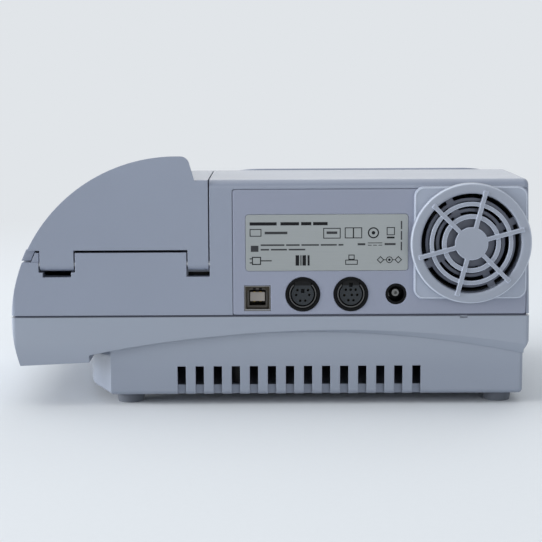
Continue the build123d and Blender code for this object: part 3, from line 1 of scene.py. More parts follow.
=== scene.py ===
"""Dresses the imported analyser: finishes on its CAD nodes, fine parts that ride on them, studio and camera."""

import bmesh
import bpy
import logging
import math
from dataclasses import dataclass, replace
from enum import Enum
from mathutils import Matrix, Vector


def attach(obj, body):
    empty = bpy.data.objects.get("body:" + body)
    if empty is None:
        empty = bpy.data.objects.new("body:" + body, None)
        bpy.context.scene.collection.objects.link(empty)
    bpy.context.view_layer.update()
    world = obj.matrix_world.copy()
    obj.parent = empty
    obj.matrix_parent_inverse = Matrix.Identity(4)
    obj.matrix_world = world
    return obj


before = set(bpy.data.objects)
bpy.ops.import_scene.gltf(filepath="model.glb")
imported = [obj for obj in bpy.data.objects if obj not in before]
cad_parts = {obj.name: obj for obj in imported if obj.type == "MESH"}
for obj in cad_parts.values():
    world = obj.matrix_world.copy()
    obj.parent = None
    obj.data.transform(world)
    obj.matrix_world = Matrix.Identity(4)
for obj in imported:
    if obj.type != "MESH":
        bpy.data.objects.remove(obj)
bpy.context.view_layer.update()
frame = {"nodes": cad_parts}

LOG = logging.getLogger("analyser")
MM = 0.001
PALEST = 0.95
ZERO = (0.0, 0.0, 0.0)

Colour = tuple[float, float, float]
Point = tuple[float, float, float]
Flat = tuple[float, float]
Box = tuple[float, float, float, float]
Socket = bpy.types.NodeSocket
Values = dict[str | int, object]

# How alike the rounded and the flat normal are at a clear edge, and where there is none.
EDGE_LIKENESS = (0.92, 0.9995)
# The range in which most of a noise pattern lies.
NOISE_RANGE = (0.35, 0.65)
# Places that several parts share, in millimetres.
FAN_X, FAN_Z = -78.6, 65.0
DISPLAY_X = -39.35
SLOPE_TOP_Y, SLOPE_TOP_Z = 0.5, 90.0
SLOPE = math.atan2(16.0, 68.0)


def tone(red: int, green: int, blue: int) -> Colour:
    """Turns a display colour, 0 to 255, into the linear one that shaders use."""
    parts = [value / 255 for value in (red, green, blue)]
    return tuple(p / 12.92 if p <= 0.04045 else ((p + 0.055) / 1.055) ** 2.4 for p in parts)


def shade(colour: Colour, by: float) -> Colour:
    """Returns a colour made lighter or darker by a factor, kept below white."""
    return tuple(min(part * by, PALEST) for part in colour)


class Effect(Enum):
    """Surface effects that several finishes share."""

    SOFT_EDGES = "soft_edges"
    GRAIN = "fine_grain"
    HANDLING = "handling_marks"
    BRUSHING = "brushed_lines"


class Graph:
    """A node tree that is filled by short calls."""

    def __init__(self, tree: bpy.types.NodeTree) -> None:
        """Keeps the tree."""
        self.tree = tree

    def fill(self, node: bpy.types.Node, values: Values) -> None:
        """Gives a node's inputs what they need.

        Args:
            node: The node.
            values: A socket to link, or a colour or number to set, by the input's name or place.
        """
        for name, value in values.items():
            entry = node.inputs[name]
            if isinstance(value, Socket):
                self.tree.links.new(value, entry)
            else:
                entry.default_value = (*value, 1.0) if entry.type == "RGBA" else value

    def node(self, kind: str, values: Values | None = None, **settings: object) -> bpy.types.Node:
        """Adds a node.

        Args:
            kind: The node's type without its ShaderNode prefix, or a whole type name.
            values: What its inputs get, by name or place.
            settings: Properties of the node itself.

        Returns:
            The new node.
        """
        whole = kind if kind.startswith("NodeGroup") else "ShaderNode" + kind
        made = self.tree.nodes.new(whole)
        for name, value in settings.items():
            setattr(made, name, value)
        self.fill(made, values or {})
        return made

    def place(self) -> Socket:
        """Returns the Object coordinates of the surface."""
        return self.node("TexCoord").outputs["Object"]

    def noise(self, values: Values) -> Socket:
        """Returns a noise pattern made with the given inputs."""
        return self.node("TexNoise", values).outputs["Fac"]

    def maths(self, operation: str, *parts: object) -> Socket:
        """Returns what a Math node makes of sockets or numbers."""
        return self.node("Math", dict(enumerate(parts)), operation=operation).outputs[0]

    def vectors(self, operation: str, *parts: object) -> bpy.types.NodeOutputs:
        """Returns what a Vector Math node makes of sockets or vectors: its Vector and its Value."""
        return self.node("VectorMath", dict(enumerate(parts)), operation=operation).outputs

    def mix(self, amount: Socket, low: object, high: object) -> Socket:
        """Returns the mix of two colours, of which an amount of 0 shows the first and 1 the second."""
        return self.node("Mix", {0: amount, 6: low, 7: high}, data_type="RGBA").outputs[2]

    def tint(self, base: Socket, mask: Socket, amount: object, colour: Colour) -> Socket:
        """Returns the base colour with another laid over it, as strongly as mask times amount says."""
        return self.mix(self.maths("MULTIPLY", mask, amount), base, colour)

    def span(self, value: Socket, low: float, high: float, start: float = 0.0, end: float = 1.0) -> Socket:
        """Returns a value's way from low to high as one from start to end, held at both ends."""
        return self.node("MapRange", {0: value, 1: low, 2: high, 3: start, 4: end}).outputs[0]

    def use(self, effect: Effect, **values: object) -> bpy.types.NodeOutputs:
        """Places a shared effect, read on Object coordinates.

        Args:
            effect: Which effect.
            values: Its own values, by socket name.

        Returns:
            What the effect puts out.
        """
        placed = self.node("Group", values, node_tree=bpy.data.node_groups[effect.value])
        if "Vector" in placed.inputs:
            self.fill(placed, {"Vector": self.place()})
        return placed.outputs


def make_group(
    effect: Effect, given: Values, made: Values,
) -> tuple[Graph, bpy.types.NodeOutputs, bpy.types.Node]:
    """Starts a shader node group with its sockets, whose kind follows from their defaults.

    Args:
        effect: The effect it is named for.
        given: The default of each input, a number or a vector.
        made: The default of each output.

    Returns:
        Its graph, what it is given, and the node that takes its results.
    """
    tree = bpy.data.node_groups.new(effect.value, "ShaderNodeTree")
    for way, sockets in (("INPUT", given), ("OUTPUT", made)):
        for name, default in sockets.items():
            kind = "NodeSocketVector" if isinstance(default, tuple) else "NodeSocketFloat"
            tree.interface.new_socket(name=name, in_out=way, socket_type=kind).default_value = default
    graph = Graph(tree)
    return graph, graph.node("NodeGroupInput").outputs, graph.node("NodeGroupOutput")


def soft_edges() -> None:
    """Builds the group that rounds edges in shading and marks where they are."""
    graph, given, end = make_group(Effect.SOFT_EDGES, {"Radius": 0.0003}, {"Normal": ZERO, "Edge": 0.0})
    rounded = graph.node("Bevel", {"Radius": given["Radius"]}, samples=6).outputs["Normal"]
    flat = graph.node("NewGeometry").outputs["Normal"]
    likeness = graph.vectors("DOT_PRODUCT", rounded, flat)["Value"]
    graph.fill(end, {"Normal": rounded, "Edge": graph.span(likeness, *EDGE_LIKENESS, 1.0, 0.0)})


def fine_grain() -> None:
    """Builds the group for the fine texture that a mould leaves."""
    graph, given, end = make_group(
        Effect.GRAIN, {"Vector": ZERO, "Scale": 2200.0}, {"Height": 0.0, "Speck": 0.0},
    )
    where = {"Vector": given["Vector"], "Scale": given["Scale"]}
    pits = graph.node("TexVoronoi", where, feature="SMOOTH_F1").outputs["Distance"]
    cloud = graph.noise({**where, "Detail": 3.0, "Roughness": 0.6})
    height = graph.maths("MULTIPLY_ADD", pits, 0.6, cloud)
    graph.fill(end, {"Height": height, "Speck": graph.span(cloud, *NOISE_RANGE)})


def handling_marks() -> None:
    """Builds the group for broad tone changes, wiped streaks and dust."""
    graph, given, end = make_group(
        Effect.HANDLING, {"Vector": ZERO}, {"Cloud": 0.0, "Streak": 0.0, "Dust": 0.0},
    )
    place = given["Vector"]
    drawn_out = {"Vector": place, "Rotation": (0.2, 0.5, 0.9), "Scale": (30.0, 160.0, 60.0)}
    slanted = graph.node("Mapping", drawn_out).outputs["Vector"]
    cloud = graph.noise({"Vector": place, "Scale": 14.0, "Detail": 3.0})
    streak = graph.noise({"Vector": slanted, "Scale": 1.0, "Detail": 4.0, "Roughness": 0.7})
    dust = graph.noise({"Vector": place, "Scale": 700.0, "Detail": 1.0})
    graph.fill(end, {
        "Cloud": graph.span(cloud, 0.3, 0.7),
        "Streak": graph.span(streak, 0.52, 0.72),
        "Dust": graph.span(dust, 0.68, 0.8),
    })


def brushed_lines() -> None:
    """Builds the group for the fine parallel lines of brushed or turned metal."""
    graph, given, end = make_group(
        Effect.BRUSHING, {"Vector": ZERO, "Stretch": (40.0, 4000.0, 4000.0)}, {"Height": 0.0, "Line": 0.0},
    )
    stretched = graph.vectors("MULTIPLY", given["Vector"], given["Stretch"])["Vector"]
    lines = graph.noise({"Vector": stretched, "Scale": 1.0, "Detail": 2.0})
    graph.fill(end, {"Height": lines, "Line": graph.span(lines, *NOISE_RANGE)})


def new_material(name: str) -> tuple[bpy.types.Material, Graph, bpy.types.Node]:
    """Starts a material with an empty tree and one Principled shader.

    Args:
        name: The material's name.

    Returns:
        The material, its graph and its shader.
    """
    material = bpy.data.materials.new(name)
    material.use_nodes = True
    material.node_tree.nodes.clear()
    graph = Graph(material.node_tree)
    shader = graph.node("BsdfPrincipled")
    graph.node("OutputMaterial", {"Surface": shader.outputs["BSDF"]})
    return material, graph, shader


@dataclass(frozen=True)
class PaintedLightDisc:
    """A round area or ring on a rear face on which painted shade or a painted highlight is laid, in
    millimetres.
    """

    x: float
    z: float
    radius: float
    colour: Colour
    inner: float = -1.0
    soft: float = 0.2

    def laid_on(self, graph: Graph, base: Socket) -> Socket:
        """Lays its colour over a material's colour.

        Args:
            graph: The material's graph.
            base: The colour so far.

        Returns:
            The colour with the round area in it.
        """
        moved = graph.vectors("SUBTRACT", graph.place(), (self.x * MM, 0.0, self.z * MM))["Vector"]
        flat = graph.vectors("MULTIPLY", moved, (1.0, 0.0, 1.0))["Vector"]
        reach = graph.vectors("LENGTH", flat)["Value"]
        inside = graph.span(reach, (self.radius - self.soft) * MM, self.radius * MM, 1.0, 0.0)
        outside = graph.span(reach, self.inner * MM, (self.inner + self.soft) * MM)
        return graph.tint(base, inside, outside, self.colour)


@dataclass(frozen=True)
class Band:
    """The part of a piece between two heights, in millimetres, with another colour laid on: painted shade in
    the case's split groove, painted light on the lower case, and a near-black top on the socket inserts.
    """

    low: float
    high: float
    colour: Colour
    soft: float = 0.1

    def laid_on(self, graph: Graph, base: Socket) -> Socket:
        """Lays its colour over a material's colour.

        Args:
            graph: The material's graph.
            base: The colour so far.

        Returns:
            The colour with the band in it.
        """
        height = graph.node("SeparateXYZ", {0: graph.place()}).outputs["Z"]
        above = graph.span(height, self.low * MM, (self.low + self.soft) * MM)
        below = graph.span(height, (self.high - self.soft) * MM, self.high * MM, 1.0, 0.0)
        return graph.tint(base, above, below, self.colour)


@dataclass(frozen=True)
class Moulding:
    """A moulded plastic or rubber: fine grain, soft edges lightened by a painted highlight and as worn edges,
    slight tone changes, handling marks and areas of another colour.

    Its depth and edge are in metres, and grain is the scale of its pattern. Wiped, dusty and specked say how
    much rougher it is at such marks.
    """

    name: str
    colour: Colour
    roughness: float = 0.42
    grain: float = 2200.0
    depth: float = 0.00002
    strength: float = 0.25
    mottle: float = 0.04
    fleck_light: float = 1.35
    edge: float = 0.0004
    edge_light: float = 1.25
    edge_wear_and_highlight: float = 0.3
    wiped: float = -0.06
    dusty: float = 0.1
    specked: float = 0.05
    specular: float = 0.5
    coat: float = 0.0
    coat_roughness: float = 0.14
    sheen: float = 0.0
    areas: tuple[PaintedLightDisc | Band, ...] = ()

    def material(self) -> bpy.types.Material:
        """Builds the material.

        Returns:
            The material.
        """
        material, graph, shader = new_material(self.name)
        edges = graph.use(Effect.SOFT_EDGES, Radius=self.edge)
        grain = graph.use(Effect.GRAIN, Scale=self.grain)
        marks = graph.use(Effect.HANDLING)
        darker, lighter = shade(self.colour, 1 - self.mottle), shade(self.colour, 1 + self.mottle)
        base = graph.mix(marks["Cloud"], darker, lighter)
        base = graph.tint(base, grain["Speck"], self.mottle, shade(self.colour, self.fleck_light))
        # Edges are lighter by edge_light: a painted highlight, also standing for worn edges.
        base = graph.tint(base, edges["Edge"], self.edge_wear_and_highlight, shade(self.colour, self.edge_light))
        for area in self.areas:
            base = area.laid_on(graph, base)
        rough = graph.maths("MULTIPLY_ADD", marks["Streak"], self.wiped, self.roughness)
        rough = graph.maths("MULTIPLY_ADD", marks["Dust"], self.dusty, rough)
        rough = graph.maths("MULTIPLY_ADD", grain["Speck"], self.specked, rough)
        relief = {"Height": grain["Height"], "Strength": self.strength, "Distance": self.depth}
        bump = graph.node("Bump", {**relief, "Normal": edges["Normal"]})
        graph.fill(shader, {
            "Base Color": base, "Roughness": rough, "Normal": bump.outputs["Normal"],
            "Specular IOR Level": self.specular, "Coat Weight": self.coat,
            "Coat Roughness": self.coat_roughness, "Sheen Weight": self.sheen,
        })
        return material


class Lay(Enum):
    """Which way a metal's tool lines run."""

    ALONG_X = (60.0, 5000.0, 5000.0)
    ALONG_Y = (5000.0, 60.0, 5000.0)
    ALONG_Z = (5000.0, 5000.0, 60.0)


@dataclass(frozen=True)
class Metal:
    """A metal with tool lines, edges lightened by a painted highlight and as worn edges, and a slight tarnish.
    Its depth and edge are in metres.
    """

    name: str
    colour: Colour
    roughness: float = 0.3
    lay: Lay = Lay.ALONG_Y
    depth: float = 0.000008
    strength: float = 0.3
    edge: float = 0.0002
    metallic: float = 1.0
    streak: float = 0.1
    tarnish: float = 0.18
    tarnish_dark: float = 0.72
    edge_wear_and_highlight: float = 0.6
    gleam: float = 1.3
    wiped: float = 0.1

    def material(self) -> bpy.types.Material:
        """Builds the material.

        Returns:
            The material.
        """
        material, graph, shader = new_material(self.name)
        edges = graph.use(Effect.SOFT_EDGES, Radius=self.edge)
        lines = graph.use(Effect.BRUSHING, Stretch=self.lay.value)
        marks = graph.use(Effect.HANDLING)
        darker, lighter = shade(self.colour, 1 - self.streak), shade(self.colour, 1 + self.streak / 2)
        base = graph.mix(lines["Line"], darker, lighter)
        base = graph.tint(base, marks["Cloud"], self.tarnish, shade(self.colour, self.tarnish_dark))
        # Edges are lighter by gleam: a painted highlight, also standing for worn edges.
        base = graph.tint(base, edges["Edge"], self.edge_wear_and_highlight, shade(self.colour, self.gleam))
        rough = graph.maths("MULTIPLY_ADD", lines["Line"], self.streak, self.roughness)
        rough = graph.maths("MULTIPLY_ADD", marks["Streak"], self.wiped, rough)
        relief = {"Height": lines["Height"], "Strength": self.strength, "Distance": self.depth}
        bump = graph.node("Bump", {**relief, "Normal": edges["Normal"]})
        graph.fill(shader, {
            "Base Color": base, "Roughness": rough, "Normal": bump.outputs["Normal"],
            "Metallic": self.metallic,
        })
        return material


@dataclass(frozen=True)
class Laminate:
    """A circuit board: solder mask over copper tracks, with plated pads. Pitch and depth are in metres."""

    name: str
    colour: Colour
    plating: Colour = tone(196, 170, 104)
    roughness: float = 0.28
    pitch: float = 0.0026
    cell: Flat = (2.6, 0.45)
    gap: float = 0.09
    track_light: float = 1.7
    pad_scale: float = 170.0
    pad_scatter: float = 0.6
    pad_rim: Flat = (0.1, 0.14)
    depth: float = 0.00003

    def material(self) -> bpy.types.Material:
        """Builds the material.

        Returns:
            The material.
        """
        material, graph, shader = new_material(self.name)
        place = graph.place()
        cells = graph.node("TexBrick", {
            "Vector": place, "Scale": 1 / self.pitch, "Mortar Size": self.gap,
            "Brick Width": self.cell[0], "Row Height": self.cell[1],
        })
        spots = {"Vector": place, "Scale": self.pad_scale, "Randomness": self.pad_scatter}
        pads = graph.node("TexVoronoi", spots, feature="F1").outputs["Distance"]
        marks = graph.use(Effect.HANDLING)
        track = graph.maths("SUBTRACT", 1.0, cells.outputs["Fac"])
        pad = graph.span(pads, *self.pad_rim, 1.0, 0.0)
        base = graph.mix(track, shade(self.colour, self.track_light), self.colour)
        base = graph.tint(base, marks["Cloud"], 0.3, shade(self.colour, 0.6))
        bump = graph.node("Bump", {"Height": track, "Strength": 0.4, "Distance": self.depth})
        graph.fill(shader, {
            "Base Color": graph.mix(pad, base, self.plating),
            "Metallic": graph.maths("MULTIPLY", pad, 0.9),
            "Roughness": graph.maths("MULTIPLY_ADD", pad, 0.1, self.roughness),
            "Normal": bump.outputs["Normal"],
        })
        return material


@dataclass(frozen=True)
class ClearSheet:
    """A clear window with faint wipe marks."""

    name: str
    colour: Colour
    roughness: float = 0.03
    refraction: float = 1.46

    def material(self) -> bpy.types.Material:
        """Builds the material.

        Returns:
            The material.
        """
        material, graph, shader = new_material(self.name)
        marks = graph.use(Effect.HANDLING)
        graph.fill(shader, {
            "Base Color": graph.mix(marks["Cloud"], self.colour, shade(self.colour, 0.97)),
            "Roughness": graph.maths("MULTIPLY_ADD", marks["Streak"], 0.04, self.roughness),
            "Transmission Weight": 1.0,
            "IOR": self.refraction,
        })
        return material


@dataclass(frozen=True)
class LitScreen:
    """A liquid-crystal panel with an even glow behind a fine grid of dots: backlight, and painted light that
    makes up for the light the window's glass holds back.
    """

    name: str
    colour: Colour
    roughness: float = 0.25
    # The glow is backlight, and painted light for what the window's glass holds back.
    glow: float = 0.5
    dot: float = 0.00055

    def material(self) -> bpy.types.Material:
        """Builds the material.

        Returns:
            The material.
        """
        material, graph, shader = new_material(self.name)
        dots = graph.node("TexChecker", {"Vector": graph.place(), "Scale": 1 / self.dot}).outputs["Fac"]
        marks = graph.use(Effect.HANDLING)
        base = graph.mix(dots, shade(self.colour, 0.95), self.colour)
        base = graph.tint(base, marks["Cloud"], 0.2, shade(self.colour, 0.86))
        graph.fill(shader, {
            "Base Color": base, "Emission Color": base, "Emission Strength": self.glow,
            "Roughness": graph.maths("MULTIPLY_ADD", marks["Streak"], 0.08, self.roughness),
        })
        return material


Finish = Moulding | Metal | Laminate | ClearSheet | LitScreen


class Finishes:
    """Every finish of the analyser, each built once."""

    # The dark band at the case's split is painted shade in its groove.
    SPLIT_SHADE = Band(35.82, 36.58, tone(54, 60, 82), soft=0.05)
    CASE = Moulding(
        "case_plastic", tone(137, 145, 162), roughness=0.34, coat=0.35, edge_light=1.45, edge_wear_and_highlight=0.5,
        areas=(SPLIT_SHADE,),
    )
    # The lower case is lighter from 26 mm up to the split, fading out down to 14 mm: painted light.
    LOWER = replace(
        CASE, name="lower_case_plastic", colour=tone(138, 146, 161),
        areas=(Band(14.0, 60.0, tone(147, 155, 169), soft=12.0), SPLIT_SHADE),
    )
    BASE = Moulding("base_plastic", tone(138, 146, 162), roughness=0.45)
    PANEL = Moulding(
        "panel_plastic", tone(140, 146, 164), roughness=0.36, grain=1500.0, strength=0.2, edge=0.0005,
        edge_light=1.6, edge_wear_and_highlight=0.7,
    )
    # The pale ring at the rim of the guard's round cover is a painted highlight.
    COVER = Moulding(
        "guard_cover_plastic", tone(145, 152, 166), roughness=0.32, grain=3000.0, edge=0.0006, edge_light=2.1,
        edge_wear_and_highlight=0.9, coat=0.25, areas=(PaintedLightDisc(FAN_X, FAN_Z, 23.7, tone(186, 194, 208), inner=23.0),),
    )
    # The dark disc over the guard's inner grille is painted shade.
    GUARD = Moulding(
        "guard_base_plastic", tone(157, 165, 181), roughness=0.36, grain=3000.0, edge=0.0006, edge_light=1.9,
        edge_wear_and_highlight=0.9, areas=(PaintedLightDisc(FAN_X, FAN_Z, 19.5, tone(96, 102, 118)),),
    )
    # The pale lip round the guard's flange is a painted highlight.
    LIP_HIGHLIGHT = Moulding(
        "guard_lip_highlight", tone(188, 196, 210), roughness=0.32, grain=3000.0, edge=0.0002, coat=0.25,
    )
    BEZEL = Moulding("bezel_plastic", tone(137, 145, 162), roughness=0.3, coat=0.3)
    LINER = Moulding("liner_plastic", tone(86, 90, 98), roughness=0.55, grain=1400.0)
    HOLDER = Moulding("holder_plastic", tone(40, 41, 45), roughness=0.5)
    # Black plastic, also laid as black sheets of painted shade in recesses, openings, screw drives and vents.
    BLACK_AND_SHADE = Moulding(
        "black_plastic", tone(7, 8, 10), roughness=0.4, edge=0.0002, edge_light=2.5, specular=0.12,
    )
    INSERT = Moulding(
        "insert_plastic", tone(48, 52, 56), roughness=0.4, edge=0.0002, edge_light=2.0, specular=0.2,
        areas=(Band(48.1, 60.0, tone(10, 11, 13)),),
    )
    TONGUE = Moulding("tongue_plastic", tone(146, 140, 134), roughness=0.4, edge=0.0002)
    RESIN = Moulding("chip_resin", tone(34, 34, 37), roughness=0.6, grain=4000.0)
    SWITCH = Moulding("switch_plastic", tone(44, 45, 48), roughness=0.45)
    MODULE = Moulding("module_plastic", tone(52, 56, 60), roughness=0.45)
    MASK = Moulding("mask_print", tone(24, 26, 30), roughness=0.25, grain=4000.0, strength=0.05)
    INK = Moulding(
        "label_ink", tone(16, 17, 21), roughness=0.5, grain=5000.0, strength=0.1, edge=0.00005, specular=0.2,
    )
    FAINT_INK = replace(INK, name="faint_ink", colour=tone(34, 36, 41), specular=0.5)
    PALE_INK = replace(FAINT_INK, name="pale_ink", colour=tone(214, 219, 228), roughness=0.45)
    SEGMENT = replace(
        FAINT_INK, name="screen_segment", colour=tone(26, 34, 34), roughness=0.3, strength=0.05,
    )
    # The socket lining's dark colour is painted shade inside the USB socket.
    SHADED_LINING = Moulding("socket_lining_shade", tone(72, 68, 62), roughness=0.45, edge=0.0002)
    KEY = Moulding("key_rubber", tone(92, 103, 128), roughness=0.55, grain=2600.0, edge=0.0006, sheen=0.1)
    FOOT = Moulding("foot_rubber", tone(94, 99, 108), roughness=0.75, grain=1200.0, strength=0.5, sheen=0.15)
    SEAL = Moulding(
        "seal_rubber", tone(36, 36, 38), roughness=0.85, grain=900.0, strength=0.8, depth=0.00006,
    )
    FOIL = Metal("label_foil", tone(156, 161, 162), roughness=0.5, lay=Lay.ALONG_X, metallic=0.2, streak=0.03)
    BLOCK = Metal("block_aluminium", tone(206, 208, 211), roughness=0.32)
    OPTIC = Metal("optic_aluminium", tone(48, 49, 54), roughness=0.42, lay=Lay.ALONG_Z, metallic=0.7)
    CAN = Metal("capacitor_aluminium", tone(178, 180, 184), lay=Lay.ALONG_Z)
    SCREW = Metal("screw_steel", tone(184, 186, 188), roughness=0.26)
    # The socket shell's steel is painted dark brown as shade, and gleam paints a highlight on its edges.
    SHADED_SHELL = Metal("socket_steel", tone(66, 62, 55), roughness=0.4, edge=0.0003, gleam=3.4)
    RIM = Metal("socket_rim_steel", tone(150, 150, 152), roughness=0.34, edge=0.0001)
    SHIELD = Metal("shield_steel", tone(98, 98, 98), roughness=0.36, edge=0.0001)
    MAGNET = Metal("magnet_steel", tone(196, 197, 198), roughness=0.18, lay=Lay.ALONG_Z)
    NICKEL = Metal("pin_nickel", tone(118, 118, 117), roughness=0.26, edge=0.0001)
    GOLD = Metal("contact_gold", tone(206, 178, 108), roughness=0.24, edge=0.0001)
    # The contacts deep in the round sockets are gold darkened as painted shade.
    SHADED_GOLD = Metal("contact_gold_shaded", tone(92, 80, 54), roughness=0.5, edge=0.0001)
    BOARD = Laminate("board_laminate", tone(38, 92, 66))
    WINDOW = ClearSheet("window_glass", tone(236, 240, 238))
    SCREEN = LitScreen("screen_glow", tone(168, 186, 164))

    def __init__(self) -> None:
        """Builds the shared effects."""
        for build in (soft_edges, fine_grain, handling_marks, brushed_lines):
            build()
        self.built: dict[str, bpy.types.Material] = {}

    def dress(self, obj: bpy.types.Object, finish: Finish) -> None:
        """Puts one finish on every slot of an object, and builds its material on first use.

        Args:
            obj: The object.
            finish: Its finish.
        """
        if finish.name not in self.built:
            self.built[finish.name] = finish.material()
        if not obj.material_slots:
            obj.data.materials.append(None)
        for slot in obj.material_slots:
            slot.material = self.built[finish.name]


NODE_FINISHES = {
    Finishes.CASE: ("upper_case", "lid_shell"),
    Finishes.LOWER: ("lower_case",),
    Finishes.BASE: ("base_plate",),
    Finishes.PANEL: ("rear_panel",),
    Finishes.GUARD: ("fan_guard_base",),
    Finishes.COVER: ("fan_guard_cover",),
    Finishes.BEZEL: ("display_bezel",),
    Finishes.LINER: ("lid_liner", "bay_deck"),
    Finishes.HOLDER: ("cartridge_holder", "board_pillars"),
    Finishes.BLACK_AND_SHADE: ("fan_frame", "fan_rotor", "scanner_socket", "printer_socket", "power_jack"),
    Finishes.INSERT: ("scanner_insert", "printer_insert"),
    Finishes.TONGUE: ("usb_tongue",),
    Finishes.RESIN: ("processor_chip", "lid_sensor"),
    Finishes.SWITCH: ("key_switches",),
    Finishes.MODULE: ("display_module",),
    Finishes.KEY: ("key_left", "key_middle", "key_right"),
    Finishes.FOOT: ("feet",),
    Finishes.SEAL: ("light_seal",),
    Finishes.FOIL: ("label_plate",),
    Finishes.BLOCK: ("heater_block",),
    Finishes.OPTIC: ("optical_block",),
    Finishes.CAN: ("capacitors",),
    Finishes.SCREW: ("case_screws", "fan_screws", "board_screws", "hinge_pins"),
    Finishes.SHADED_SHELL: ("usb_shell",),
    Finishes.SHIELD: ("socket_shields",),
    Finishes.MAGNET: ("lid_magnet",),
    Finishes.NICKEL: ("power_jack_pin",),
    Finishes.BOARD: ("main_board", "display_board", "lamp_board", "detector_board"),
    Finishes.WINDOW: ("display_window",),
}


def object_from(mesh: bmesh.types.BMesh, name: str) -> bpy.types.Object:
    """Turns a bmesh into an object at the origin.

    Args:
        mesh: The finished bmesh, freed here.
        name: The object's name.

    Returns:
        The new object, in the scene.
    """
    data = bpy.data.meshes.new(name)
    mesh.to_mesh(data)
    mesh.free()
    made = bpy.data.objects.new(name, data)
    bpy.context.scene.collection.objects.link(made)
    return made


@dataclass(frozen=True)
class Lamp:
    """A square soft light, in metres and watts."""

    name: str
    place: Point
    size: float
    power: float
    glare: bool = True

    def hang(self, target: Point) -> None:
        """Hangs the lamp and aims it.

        Args:
            target: The point that it shines at.
        """
        lamp = bpy.data.lights.new(self.name, "AREA")
        lamp.shape = "SQUARE"
        lamp.size = self.size
        lamp.energy = self.power
        holder = bpy.data.objects.new(self.name, lamp)
        holder.location = self.place
        aim = Vector(target) - Vector(self.place)
        holder.rotation_euler = aim.to_track_quat("-Z", "Y").to_euler()
        holder.visible_glossy = self.glare
        bpy.context.scene.collection.objects.link(holder)


@dataclass
class Studio:
    """The pale floor and background, the soft lights and the camera.

    Places are in metres, the lens and its sensor in millimetres, and the camera's pitch and roll in degrees.
    """

    backdrop: Colour = tone(225, 229, 233)
    floor_size: float = 6.0
    fade_start: float = 0.28
    fade_end: float = 0.75
    ambient: float = 0.6
    mirrored: float = 0.72
    target: Point = (0.0, 0.0, 0.05)
    lens: float = 102.0
    sensor: float = 36.0
    nearest: float = 0.01
    camera_place: Point = (-0.0003, 0.6625, 0.1314)
    pitch: float = 7.346
    roll: float = -0.28
    lamps: tuple[Lamp, ...] = (
        Lamp("overhead", (0.25, -0.1, 1.1), 1.3, 5.0),
        Lamp("rear_fill", (-0.4, 1.5, 0.22), 1.2, 5.0),
        Lamp("side_fill", (2.3, 0.3, 0.32), 1.2, 84.0, glare=False),
        Lamp("front_fill", (-0.4, -1.4, 0.9), 1.4, 6.0),
    )

    def build_floor(self) -> None:
        """Lays the floor, which takes the object's shadow and fades into the background."""
        mesh = bmesh.new()
        bmesh.ops.create_grid(mesh, x_segments=1, y_segments=1, size=self.floor_size)
        floor = object_from(mesh, "floor")
        material, graph, shader = new_material("floor_paper")
        place = graph.place()
        flecks = graph.noise({"Vector": place, "Scale": 400.0, "Detail": 2.0})
        graph.fill(shader, {
            "Base Color": graph.mix(flecks, shade(self.backdrop, 0.99), shade(self.backdrop, 1.01)),
            "Roughness": 0.9, "Specular IOR Level": 0.1,
        })
        far = graph.span(graph.vectors("LENGTH", place)["Value"], self.fade_start, self.fade_end)
        seen = graph.node("LightPath").outputs["Is Camera Ray"]
        glow = graph.node("Emission", {"Color": self.backdrop, "Strength": 1.0})
        blend = graph.node("MixShader", {
            0: graph.maths("MULTIPLY", far, seen), 1: shader.outputs["BSDF"], 2: glow.outputs["Emission"],
        })
        output = next(node for node in graph.tree.nodes if node.type == "OUTPUT_MATERIAL")
        graph.fill(output, {"Surface": blend.outputs["Shader"]})
        floor.data.materials.append(material)

    def build_world(self) -> None:
        """Sets the soft light from all round and the pale background that is seen."""
        world = bpy.data.worlds.new("studio")
        world.use_nodes = True
        world.node_tree.nodes.clear()
        graph = Graph(world.node_tree)
        ray = graph.node("LightPath").outputs
        shown = graph.maths("MAXIMUM", ray["Is Camera Ray"], ray["Is Transmission Ray"])
        strength = graph.span(shown, 0.0, 1.0, self.ambient, 1.0)
        strength = graph.maths("MULTIPLY_ADD", ray["Is Glossy Ray"], self.mirrored - self.ambient, strength)
        light = graph.node("Background", {"Color": self.backdrop, "Strength": strength})
        graph.node("OutputWorld", {"Surface": light.outputs["Background"]})
        bpy.context.scene.world = world

    def build_camera(self) -> None:
        """Sets the camera where the photograph was taken."""
        camera = bpy.data.cameras.new("camera")
        camera.lens = self.lens
        camera.sensor_width = self.sensor
        camera.clip_start = self.nearest
        holder = bpy.data.objects.new("camera", camera)
        turn = Matrix.Rotation(math.pi, 4, "Z") @ Matrix.Rotation(math.radians(90 - self.pitch), 4, "X")
        turn = turn @ Matrix.Rotation(math.radians(self.roll), 4, "Z")
        holder.matrix_world = Matrix.Translation(self.camera_place) @ turn
        bpy.context.scene.collection.objects.link(holder)
        bpy.context.scene.camera = holder

    def build(self) -> None:
        """Builds the whole studio."""
        self.build_floor()
        self.build_world()
        for lamp in self.lamps:
            lamp.hang(self.target)
        self.build_camera()
        bpy.context.scene.view_settings.view_transform = "Standard"
        LOG.info("studio: floor, world, %d lights and camera", len(self.lamps))


@dataclass(frozen=True)
class Face:
    """A flat place to work on, in millimetres: its origin and its right and up directions."""

    origin: Point
    right: Point
    up: Point

    def matrix(self) -> Matrix:
        """Works out the way from the face to the scene.

        Returns:
            The transform from the face's own millimetres to the scene's metres.
        """
        right, up = Vector(self.right), Vector(self.up)
        turn = Matrix((right, up, right.cross(up))).transposed().to_4x4()
        return Matrix.Scale(MM, 4) @ Matrix.Translation(self.origin) @ turn


def rear_face(y: float) -> Face:
    """Returns the plane at depth y, seen from behind, where u is minus x."""
    return Face((0.0, y, 0.0), (-1.0, 0.0, 0.0), (0.0, 0.0, 1.0))


